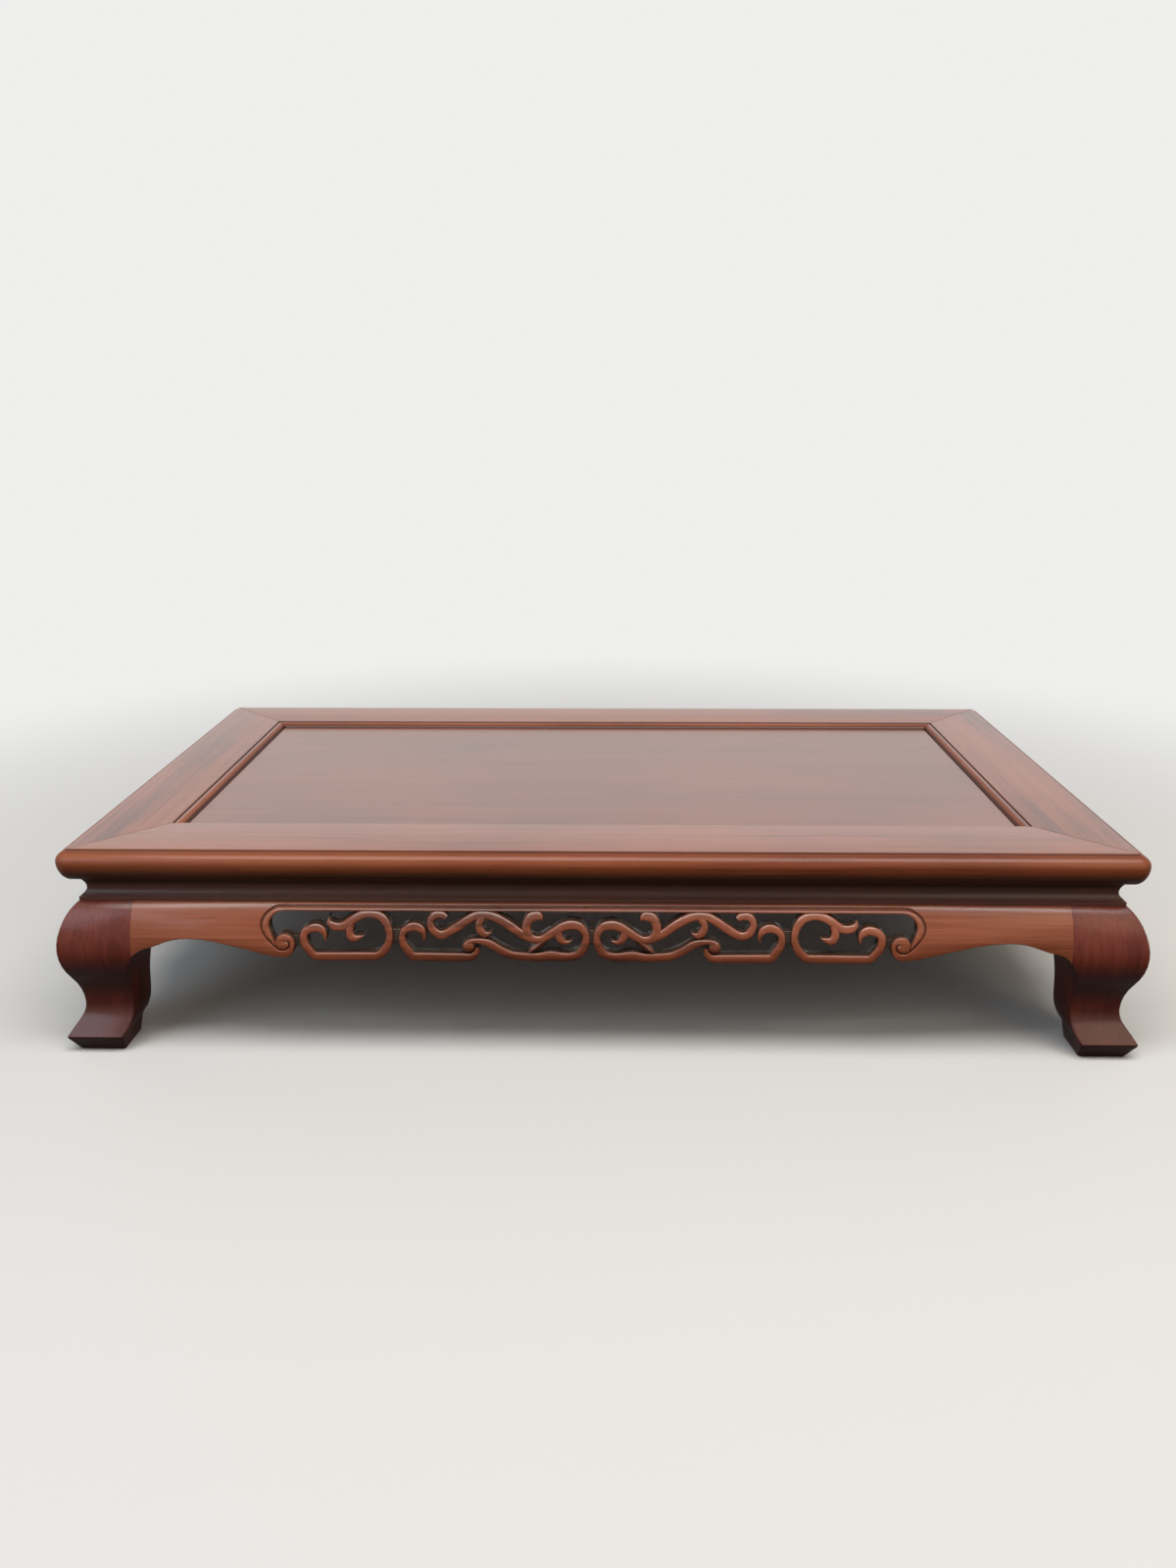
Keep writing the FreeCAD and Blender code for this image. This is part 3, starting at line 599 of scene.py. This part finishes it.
def mitredMember(outline, half, nose, radius, facts):
    steps = facts["cornerSteps"] if radius else 1
    full = facts["mitreGap"] + facts["mitreEase"]

    def endRing(section, step, shift):
        ring = []
        swing = pointing(225 + 45 * step / steps)     # from the mitre round to the straight
        for spot in section:
            if spot.x < radius:                       # round the corner, about its own centre
                x = radius + (radius - spot.x) * swing.x
                y = radius + (radius - spot.x) * swing.y
            else:
                x, y = spot.x + mitreRun * step, spot.x
            ring.append((x + shift - half, y - nose, spot.y))
        return ring

    left = [endRing(inset(outline, facts["mitreEase"]), 0, facts["mitreGap"])]
    left += [endRing(outline, step, full) for step in range(steps + 1)]
    right = [[(-x, y, z) for x, y, z in ring] for ring in reversed(left)]
    return loft(left + right)


for side, (turn, half, nose) in sides.items():
    name = side + ("Rail" if side in ("front", "back") else "Stile")
    member = shellObject(name, mitredMember(frameOutline(), half, nose, topFrame["cornerRadius"], topFrame))
    settle(member, turn)
    dress(member, frameNodes[side], timber["frame_wood", sideGrain[side]], topFrame["crease"])
print("top frame swept")


# Panel and battens: the bench pieces with their edges eased

easedEdge = {
    "widths": {
        "top_panel": 0.7,
        "panel_batten_left": 0.8,
        "panel_batten_middle": 0.8,
        "panel_batten_right": 0.8,
    },
    "merge": 0.01,
    "flat": 1,                                        # degrees, below which two faces are one
    "sharp": 40,                                      # degrees, past which an edge is eased
    "segments": 2,
}


def easedCopy(node, name, width):
    shell = bmesh.new()
    shell.from_mesh(frame["nodes"][node].data)
    bmesh.ops.remove_doubles(shell, verts=shell.verts, dist=easedEdge["merge"] * mm)
    flat = math.radians(easedEdge["flat"])
    bmesh.ops.dissolve_limit(shell, angle_limit=flat, verts=shell.verts, edges=shell.edges)
    piece = shellObject(name, shell)
    bevel = piece.modifiers.new("easedEdge", "BEVEL")
    bevel.width = width * mm
    bevel.segments = easedEdge["segments"]
    bevel.limit_method = "ANGLE"
    bevel.angle_limit = math.radians(easedEdge["sharp"])
    return piece


for node, width in easedEdge["widths"].items():
    words = node.split("_")
    name = words[0] + "".join(word.capitalize() for word in words[1:]) + "Eased"
    slotName, grain = ("panel_wood", "X") if node == "top_panel" else ("batten_wood", "Y")
    dress(easedCopy(node, name, width), node, timber[slotName, grain])
print("panel and battens eased")


# Waist: hollow strips with a square band along the foot

waist = {
    "face": 13.3,
    "back": 26.0,
    "hollow": 18.6,
    "hollowHeadings": (45, 90, 122),                  # at the band, the deepest line and the head
    "band": 3.2,
    "step": 1.2,
    "hollowDrop": 1.5,                                # deepest line below the middle of the hollow
    "edgeEase": 0.35,
    "mitreGap": 0.1,
    "mitreEase": 0.25,
}


def waistOutline():
    low, high = table["shoulder"], table["bed"]
    step = low + waist["band"]
    lip = waist["face"] + waist["step"]
    middle = (step + high) / 2 - waist["hollowDrop"]
    back, face = waist["back"], waist["face"]
    bandTurn, deepTurn, headTurn = waist["hollowHeadings"]
    outline = spots((back, high), (back, low), (face, low), (face, step))
    outline += flowSpots(((lip, step, bandTurn), (waist["hollow"], middle, deepTurn), (lip, high, headTurn)))
    return eased(outline, waist["edgeEase"])


for side, (turn, half, nose) in sides.items():
    strip = shellObject(side + "Waist", mitredMember(waistOutline(), half, nose, 0.0, waist))
    settle(strip, turn)
    dress(strip, "waist_" + side, timber["waist_wood", sideGrain[side]])
print("waist strips swept")


# Legs: square sections with eased arrises that follow the knee and toe

# in, height and heading: the outer line runs down from the shoulder, and the inner one up from the floor
leg = {
    "outer": ((13.1, 133.0, 216), (1.9, 119.0, 245), (-4.4, 93.0, 270), (8.4, 41.0, 270), (-4.6, 15.4, 236)),
    "toe": ((-4.55, 14.5), (-4.2, 13.4), (2.6, 0.9), (3.2, 0.0)),
    "inner": ((40.5, 0.0, 80), (43.0, 14.6, 72), (48.5, 25.0, 78), (50.4, 47.0, 88), (53.0, 73.0, 80),
              (59.0, 89.0, 52)),
    "joint": 59.0,
    "post": (26.0, 56.0),
    "outerArris": (0.6, 2.3),                         # at the toe and at the knee
    "arrisGrows": (16.0, 42.0),
    "jointArris": 0.15,                               # beside the aprons
    "freeArris": 2.2,                                 # below the aprons
    "freeFrom": 1.0,                                  # it grows from this far below them
    "freeRun": 8.0,                                   # over this run
    "backArris": 2.5,
    "arrisSteps": 5,
    "crease": 35,
}


def across(line, height):                             # where a line of spots passes a height
    for low, high in zip(line, line[1:]):
        if low.y <= height <= high.y:
            share = (height - low.y) / max(high.y - low.y, straightEnough)
            return low.x + (high.x - low.x) * share
    return line[-1].x if height > line[-1].y else line[0].x


def squareRing(near, far, height, arrises):           # corners: outer, side, back, side
    ring = []
    centres = ((near, near, 180), (far, near, 270), (far, far, 0), (near, far, 90))
    for (a, b, start), radius in zip(centres, arrises):
        inA, inB = (1 if a == near else -1), (1 if b == near else -1)
        for k in range(leg["arrisSteps"] + 1):
            out = pointing(start + 90 * k / leg["arrisSteps"])
            ring.append((a + inA * radius + out.x * radius, b + inB * radius + out.y * radius, height))
    return ring


def legRings():
    outer = flowSpots(leg["outer"]) + spots(*leg["toe"])
    outer.reverse()
    inner = flowSpots(leg["inner"])
    rings = []
    for spot in outer:
        free = clamped((leg["inner"][-1][1] - leg["freeFrom"] - spot.y) / leg["freeRun"])
        beside = leg["jointArris"] + (leg["freeArris"] - leg["jointArris"]) * free
        low, high = leg["arrisGrows"]
        grown = clamped((spot.y - low) / (high - low))
        atToe, atKnee = leg["outerArris"]
        arrises = (atToe + (atKnee - atToe) * grown, beside, leg["backArris"], beside)
        rings.append(squareRing(spot.x, across(inner, spot.y), spot.y, arrises))
    near, far = leg["post"]
    for height in (table["shoulder"], table["bed"]):
        rings.append(squareRing(near, far, height, (leg["jointArris"],) * 4))
    return rings


def atCorner(ring, lengthwise, crosswise):
    return [((a - table["noseX"]) * lengthwise, (b - table["noseY"]) * crosswise, z) for a, b, z in ring]


for side, lengthwise in (("left", 1), ("right", -1)):
    for end, crosswise in (("front", 1), ("back", -1)):
        rings = [atCorner(ring, lengthwise, crosswise) for ring in legRings()]
        shaped = shellObject(end + side.capitalize() + "Leg", loft(rings))
        settle(shaped, 0)
        dress(shaped, "leg_" + end + "_" + side, timber["leg_wood", "Z"], leg["crease"])
print("legs shaped")


# Aprons: carved flat on the bench, then laid on the swelling face

apron = {
    "thick": 11.0,
    "faceEase": 0.7,
    "easeSteps": 3,
    "jointEase": 0.1,                                 # the face runs up to the leg with hardly a gap
    "bedDeep": 2.1,                                   # floor of the groove beside the bead
    "webDeep": 4.4,                                   # bridges between scrolls sit this far back
    "floorEase": 0.3,                                 # on the edges of both
    "shift": {"front": -5.5, "left": 0.0},            # the front carving was cut off centre
    "openingHalf": {"front": 265.8, "left": 145.8},
    # share of the way from the leg to the volute, height and heading
    "arch": ((0.0, 89.0, 52), (0.19, 101.2, 22), (0.36, 105.7, 0), (0.72, 97.4, 346), (0.955, 90.3, 356),
             (1.0, 91.3, 28)),
    "swell": 93.0,                                    # below this height the face is upright
    "sliceRun": 1.8,
    "sliceNear": 0.0005,                              # a point this near a cut lies on it
    "crease": 38,
}
# placed from the outermost point of the opening; a fourth number is half the width there
volute = {
    "outline": ((15.9, 91.3, 28), (20.9, 101.0, 88), (19.2, 106.3, 130), (12.5, 109.4, 180),
                (6.6, 106.6, 240), (5.5, 103.1, 270)),
    "tuckedIn": 0.4,                                  # the groove's floor stays this far inside the outline
    "opening": ((5.5, 103.1, 120), (3.6, 106.9, 122), (0.7, 112.7, 104), (0.0, 117.4, 90), (2.0, 122.8, 55),
                (8.3, 126.6, 8), (13.9, 127.0, 0)),
    "groove": ((13.4, 104.0, 5), (16.9, 101.6, 270), (11.0, 96.7, 180), (6.2, 98.5, 137), (-0.9, 105.2, 132),
               (-5.7, 112.5, 106), (-6.6, 117.4, 88), (-3.8, 124.4, 52), (3.5, 129.4, 24), (9.2, 130.4, 2),
               (15.0, 130.4, 0)),
    "grooveHalf": 0.65,
    "grooveTip": 0.35,                                # share of that at its inner end
    "curl": 3,                                        # the groove's points that lie inside the volute
    "bead": ((5.0, 101.0, 128, 0.5), (2.9, 104.2, 122, 1.1), (-0.6, 109.6, 115, 2.5), (-3.0, 116.6, 90, 2.9),
             (-0.7, 123.1, 55, 2.5), (4.9, 127.3, 26, 1.8), (12.1, 128.4, 3, 1.4), (20.0, 128.4, 0, 1.4)),
}
stems = {
    "half": 3.0,
    "fuller": 1.2,                                    # all the scrolls' widths are drawn up by this
    "crest": 0.5,                                     # stems lie this far below the board's face
    "sink": 1.3,                                      # and their thin ends this much further
    "crown": 0.18,                                    # share of the depth that is rounded
    "square": 0.8,                                    # 1 is a round front, and less a flatter one
    "flank": 0.6,                                     # share of the depth where the sides are cut straight
    "backEdge": (0.94, 0.97),                         # shares of the half width and depth at the eased back
    "flushCrest": 0.1,                                # of the bead
    "sectionSteps": 12,
}
# left half, from the pattern's middle: along, height, heading, half width
scrolls = {
    "roundScroll": ((-219.4, 104.2, 88, 0.5), (-219.5, 108.3, 94, 1.3), (-221.5, 112.0, 130, 2.5),
                    (-227.3, 114.4, 180, 2.9), (-237.3, 107.1, 270, 2.7), (-234.0, 97.3, 310, 2.8),
                    (-225.9, 90.6, 0, 3.1), (-179.7, 90.9, 0, 3.1), (-170.6, 96.3, 52, 2.9),
                    (-166.1, 109.4, 92, 2.3), (-171.7, 121.5, 137, 2.8), (-183.7, 125.1, 180, 2.3),
                    (-193.2, 122.7, 206, 2.8), (-200.3, 118.4, 215, 2.9), (-207.5, 115.3, 182, 2.7),
                    (-213.2, 116.2, 150, 2.6), (-216.5, 119.4, 105, 1.6), (-216.5, 122.4, 80, 0.4)),
    "roundScrollHook": ((-197.9, 118.2, 252, 2.6), (-199.4, 112.3, 271, 2.7), (-195.9, 106.4, 345, 2.8),
                        (-191.3, 107.1, 20, 1.6), (-187.2, 108.7, 30, 0.3)),
    "lowScroll": ((-138.1, 104.8, 88, 0.5), (-137.5, 108.9, 95, 1.3), (-139.5, 113.0, 130, 2.5),
                  (-146.2, 115.8, 180, 2.8), (-155.8, 107.6, 270, 2.3), (-152.9, 98.8, 308, 2.9),
                  (-145.0, 90.8, 0, 3.2), (-106.2, 90.5, 0, 3.1), (-99.3, 90.9, 14, 2.8),
                  (-95.2, 94.0, 55, 2.2), (-93.2, 99.1, 66, 1.5)),
    "shortScroll": ((-131.0, 92.5, 350, 2.8), (-118.0, 90.6, 0, 3.1), (-106.2, 90.5, 0, 3.1),
                    (-99.3, 90.9, 14, 2.8), (-95.2, 94.0, 55, 2.2), (-93.2, 99.1, 66, 1.5)),
    "runningScroll": ((-101.5, 103.3, 20, 2.0), (-95.4, 104.8, 0, 1.7), (-89.0, 104.2, 350, 2.3),
                      (-83.4, 102.2, 332, 2.8), (-75.4, 97.4, 330, 2.9), (-67.4, 93.3, 340, 3.0),
                      (-57.8, 91.6, 356, 3.1), (-44.9, 91.0, 0, 3.1), (-33.6, 92.1, 0, 3.8),
                      (-20.8, 91.3, 0, 3.1), (-14.3, 92.3, 14, 3.1), (-7.4, 97.7, 58, 2.9),
                      (-4.3, 107.9, 92, 2.4), (-7.8, 114.9, 132, 2.7), (-16.8, 117.6, 180, 3.1),
                      (-27.2, 114.2, 213, 2.9), (-36.8, 108.5, 212, 2.7), (-44.0, 105.9, 180, 2.6),
                      (-50.8, 108.7, 130, 2.7), (-53.7, 115.1, 90, 3.1), (-51.5, 121.6, 58, 3.1),
                      (-46.6, 124.2, 6, 3.4), (-44.4, 124.3, 352, 3.3), (-42.0, 123.1, 318, 2.3),
                      (-40.9, 120.6, 286, 0.4)),
    "upperVine": ((-120.1, 122.6, 126, 2.1), (-127.1, 124.8, 180, 2.6), (-132.7, 118.7, 270, 2.4),
                  (-129.2, 112.1, 312, 2.7), (-122.8, 109.6, 4, 2.8), (-115.6, 112.6, 32, 2.9),
                  (-103.6, 119.9, 33, 2.9), (-91.7, 124.8, 4, 2.6), (-83.6, 124.2, 345, 2.7),
                  (-75.5, 121.3, 331, 2.9), (-67.4, 116.9, 327, 2.9), (-59.3, 111.5, 328, 2.8),
                  (-51.2, 107.5, 335, 2.7), (-44.8, 105.8, 350, 2.5)),
    "upperVineHook": ((-89.2, 123.5, 225, 2.5), (-92.6, 117.4, 268, 2.5), (-90.0, 111.5, 315, 2.7),
                      (-86.6, 110.0, 0, 2.2), (-81.8, 112.4, 42, 0.3)),
    "innerHook": ((-28.4, 114.5, 272, 2.7), (-26.7, 109.2, 280, 2.7), (-23.9, 105.1, 325, 2.3),
                  (-21.0, 103.9, 2, 1.7), (-17.8, 104.8, 26, 0.9), (-15.8, 106.1, 38, 0.2)),
}
leaf = {                                              # a ridged leaf under each running scroll
    "line": ((-36.0, 108.8, 222, 2.9), (-40.4, 104.8, 225, 4.2), (-44.4, 101.5, 222, 4.7),
             (-49.3, 97.2, 222, 2.9), (-53.2, 94.3, 218, 0.4)),
    "ridge": 0.25,                                    # share of the depth that slopes from the ridge
}
ball = {                                              # end of each running scroll
    "centre": (-101.1, 100.2),
    "radius": 5.2,
    "crest": 0.3,
    "rise": 2.6,
    "domeTurn": 80,                                   # degrees from its edge, where it is cut flat
    "steps": 28,
    "rings": 7,
}
runningSet = ("runningScroll", "upperVine", "upperVineHook", "innerHook")
scrollSets = {
    "front": runningSet + ("lowScroll", "roundScroll", "roundScrollHook"),
    "left": runningSet + ("shortScroll",),
}
webs = {                                              # left, right, low, high; the middle one stands alone
    "middle": (-4.4, 4.4, 101.5, 112.8),
    "front": ((-166.0, -156.0, 102.0, 113.0), (-246.0, -237.5, 99.5, 107.5), (-104.0, -97.0, 92.0, 97.0)),
    "left": ((-104.0, -97.0, 92.0, 97.0),),
}


def stemTree():                                       # sweeps a round-fronted section along flat lines
    tree = bpy.data.node_groups.new("carvedStem", "GeometryNodeTree")
    inputs = {"Lines": "Geometry", "Section": "Object", "Crest": "Float", "Sink": "Float", "Half": "Float",
              "Depth": "Float", "Wood": "Material"}
    for label, kind in inputs.items():
        tree.interface.new_socket(label, in_out="INPUT", socket_type="NodeSocket" + kind)
    tree.interface.new_socket("Carving", in_out="OUTPUT", socket_type="NodeSocketGeometry")
    sheet = NodeSheet(tree)
    lines = sheet.node("NodeGroupInput")
    section, crest, sink, half, depth, wood = [lines.other(label) for label in list(inputs)[1:]]
    radius = sheet.node("GeometryNodeInputRadius")
    kept = sheet.node("GeometryNodeCaptureAttribute", {"captured": ("FLOAT", "Width")}, {0: lines, 1: radius})
    width = kept.other(1)
    profile = sheet.node("GeometryNodeObjectInfo", None, {"Object": section}, out="Geometry")
    swept = sheet.node("GeometryNodeCurveToMesh", None, {
        "Curve": kept, "Profile Curve": profile, "Scale": radius, "Fill Caps": True})
    x, y, z = sheet.apart(sheet.node("GeometryNodeInputPosition"))
    thin = width.sum("MAXIMUM", 1.0 - width / half, 0.0)
    front = crest + thin * sink
    back = -(abs(z) / width) * (depth - front) - front
    laid = sheet.node("ShaderNodeCombineXYZ", None, {0: x, 1: y, 2: back})
    placed = sheet.node("GeometryNodeSetPosition", None, {"Geometry": swept, "Position": laid})
    whole = sheet.node("GeometryNodeRealizeInstances", None, {0: placed})
    shown = sheet.node("GeometryNodeSetMaterial", None, {"Geometry": whole, "Material": wood})
    sheet.node("NodeGroupOutput", None, {0: shown})
    return tree


def lineObject(name, spotsAlong, widths, closed=False):
    data = bpy.data.curves.new(name, "CURVE")
    data.dimensions = "3D"
    line = data.splines.new("POLY")
    line.points.add(len(spotsAlong) - 1)
    for point, spot, width in zip(line.points, spotsAlong, widths):
        point.co = (spot.x, spot.y, 0.0, 1.0)
        point.radius = width
    line.use_cyclic_u = closed
    made = bpy.data.objects.new(name, data)
    scene.collection.objects.link(made)
    return made


def sectionObject(name, front):                       # across from -1 to 1, depth share from 0 to 1
    backSide, backDeep = stems["backEdge"]
    right = spots((1.0, stems["flank"]), (1.0, backDeep), (backSide, 1.0))
    outline = front + right + mirrored(right)
    return lineObject(name, outline, [1.0] * len(outline), True)


def roundFront():
    front = []
    for k in range(stems["sectionSteps"] + 1):
        out = pointing(180 - 180 * k / stems["sectionSteps"])
        side = math.copysign(abs(out.x) ** stems["square"], out.x)
        front.append(Vector((side, stems["crown"] * (1 - abs(out.y) ** stems["square"]))))
    return front


carveTree = stemTree()
roundSection = sectionObject("roundSection", roundFront())
ridgeSection = sectionObject("ridgeSection", spots((-1.0, leaf["ridge"]), (0.0, 0.0), (1.0, leaf["ridge"])))
stemSockets = {item.name: item.identifier for item in carveTree.interface.items_tree}


def carvedStem(name, spotsAlong, widths, wood,
               crest=stems["crest"], sink=stems["sink"], section=roundSection):
    line = lineObject(name, spotsAlong, widths)
    sweep = line.modifiers.new("carvedStem", "NODES")
    sweep.node_group = carveTree
    given = {"Section": section, "Crest": crest, "Sink": sink, "Half": stems["half"],
             "Depth": apron["thick"], "Wood": wood}
    for label, value in given.items():
        sweep[stemSockets[label]] = value
    depsgraph = bpy.context.evaluated_depsgraph_get()
    mesh = bpy.data.meshes.new_from_object(line.evaluated_get(depsgraph))
    bpy.data.objects.remove(line)
    shell = bmesh.new()
    shell.from_mesh(mesh)
    bpy.data.meshes.remove(mesh)
    bmesh.ops.recalc_face_normals(shell, faces=shell.faces)
    return shell


def widthsBetween(points):
    line, widths = [], []
    for spot, along, share in flow(points):
        k = min(int(share), len(points) - 2)
        t = share - k
        line.append(spot)
        widths.append(points[k][3] * (1 - t) + points[k + 1][3] * t)
    return line, widths


def board(outline, front, back, ease):
    rings = []
    for k in range(apron["easeSteps"] + 1):
        out = pointing(90 * k / apron["easeSteps"])
        rings.append((inset(outline, ease * (1 - out.y)), front - ease * (1 - out.x)))
    rings.append((outline, back))
    return loft([[(spot.x, spot.y, depth) for spot in ring] for ring, depth in rings])


def dome(flip, shift, deep):
    middle = Vector((ball["centre"][0] * flip + shift, ball["centre"][1]))
    sizes = [(1.0, deep)]
    for k in range(ball["rings"]):
        out = pointing(ball["domeTurn"] * k / (ball["rings"] - 1))
        sizes.append((out.x, -ball["crest"] - ball["rise"] * (1 - out.y)))
    rim = [pointing(360 * k / ball["steps"]) * ball["radius"] for k in range(ball["steps"])]
    rings = []
    for size, depth in sizes:
        rings.append([(*(middle + out * size), depth) for out in rim])
    return loft(rings)


def grooveEdges(opening):                             # round inside the volute, and back out past the bead
    inner, outer = [], []
    for spot, along, share in flow(moved(volute["groove"], opening)):
        beside = Vector((along.y, -along.x)) * volute["grooveHalf"] * min(1.0, volute["grooveTip"] + share)
        outer.append(spot - beside)
        if share <= volute["curl"]:
            inner.append(spot + beside)
    return inner[::-1] + outer


def archSpots(joint, opening):                        # along the lower edge, from the leg to the volute
    tip = opening + volute["outline"][0][0]
    arch = [(joint + (tip - joint) * share, height, heading) for share, height, heading in apron["arch"]]
    return flowSpots(arch)


def lowerEdge(joint, opening):
    return archSpots(joint, opening) + flowSpots(moved(volute["outline"], opening))[1:]


def faceEnd(joint, opening):                          # down to the groove beside the bead
    return lowerEdge(joint, opening) + grooveEdges(opening)


def floorEnd(joint, opening):                         # under the groove and the bead, out to the opening
    tucked = inset(lowerEdge(joint, opening), volute["tuckedIn"])
    return tucked[1:-1] + flowSpots(moved(volute["opening"], opening))


def boardOutline(side, half, oneEnd):
    joint = half - leg["joint"] + apron["faceEase"] - apron["jointEase"]
    shift, opening = apron["shift"][side], apron["openingHalf"][side]
    leftEnd = oneEnd(-joint, shift - opening)
    rightEnd = mirrored(oneEnd(-joint, -shift - opening))
    head = spots((joint, table["shoulder"]), (-joint, table["shoulder"]))
    return leftEnd + rightEnd + head


def webBoard(web, flip, shift):
    left, right, low, high = web
    outline = flipped(spots((left, low), (right, low), (right, high), (left, high)), flip, shift)
    return board(outline, -apron["webDeep"], -apron["thick"], apron["floorEase"])


def carvedParts(side, half, wood):
    shift, opening = apron["shift"][side], apron["openingHalf"][side]
    deep = -apron["thick"]
    parts = [board(boardOutline(side, half, faceEnd), 0.0, deep, apron["faceEase"])]
    parts.append(board(boardOutline(side, half, floorEnd), -apron["bedDeep"], deep, apron["floorEase"]))
    parts.append(webBoard(webs["middle"], 1, shift))
    for flip in (1, -1):
        parts += [webBoard(web, flip, shift) for web in webs[side]]
        for name in scrollSets[side]:
            line, widths = widthsBetween(scrolls[name])
            widths = [width * stems["fuller"] for width in widths]
            parts.append(carvedStem(name, flipped(line, flip, shift), widths, wood))
        line, widths = widthsBetween(leaf["line"])
        parts.append(carvedStem("leaf", flipped(line, flip, shift), widths, wood, section=ridgeSection))
        parts.append(dome(flip, shift, deep))
    line, widths = widthsBetween(moved(volute["bead"], -opening))
    line = flipped(line, 1, shift) + flipped(line, -1, shift)[::-1]
    parts.append(carvedStem("bead", line, widths + widths[::-1], wood, stems["flushCrest"], 0.0))
    return parts


def joined(parts, name):                              # one closed shell from all the carved parts
    whole = shellObject(name, parts[0])
    others = bpy.data.collections.new(name + "Parts")
    for k, part in enumerate(parts[1:]):
        bit = shellObject(name + str(k), part)
        others.objects.link(bit)
    union = whole.modifiers.new("union", "BOOLEAN")
    union.operation = "UNION"
    union.operand_type = "COLLECTION"
    union.collection = others
    union.solver = "MANIFOLD"
    depsgraph = bpy.context.evaluated_depsgraph_get()
    mesh = bpy.data.meshes.new_from_object(whole.evaluated_get(depsgraph))
    whole.modifiers.remove(union)
    for bit in list(others.objects):
        bpy.data.objects.remove(bit)
    bpy.data.collections.remove(others)
    whole.data = mesh
    return whole


swellLine = flowSpots(leg["outer"][:3])[::-1]         # upwards, from where the face starts to lean


def layOnSwell(piece, nose):
    shell = bmesh.new()
    shell.from_mesh(piece.data)
    height = apron["swell"] + apron["sliceRun"]
    while height < table["shoulder"]:
        everything = shell.verts[:] + shell.edges[:] + shell.faces[:]
        bmesh.ops.bisect_plane(shell, geom=everything, dist=apron["sliceNear"],
                               plane_co=(0, height, 0), plane_no=(0, 1, 0))
        height += apron["sliceRun"]
    depth = shell.verts.layers.float.new("carveDepth")
    for vert in shell.verts:
        vert[depth] = -vert.co.z
        x, height, back = vert.co
        vert.co = (x, across(swellLine, height) - back - nose, height)
    bmesh.ops.recalc_face_normals(shell, faces=shell.faces)
    shell.to_mesh(piece.data)
    shell.free()


for pattern, copies in (("front", ("front", "back")), ("left", ("left", "right"))):
    turn, half, nose = sides[pattern]
    for side in copies:
        wood = timber["apron_wood", sideGrain[side]]
        carving = joined(carvedParts(pattern, half, wood), side + "Apron")
        layOnSwell(carving, nose)
        settle(carving, sides[side][0])
        dress(carving, "apron_" + side, wood, apron["crease"])
        print(side, "apron carved:", len(carving.data.polygons), "faces")
bpy.data.objects.remove(roundSection)
bpy.data.objects.remove(ridgeSection)
bpy.data.node_groups.remove(carveTree)
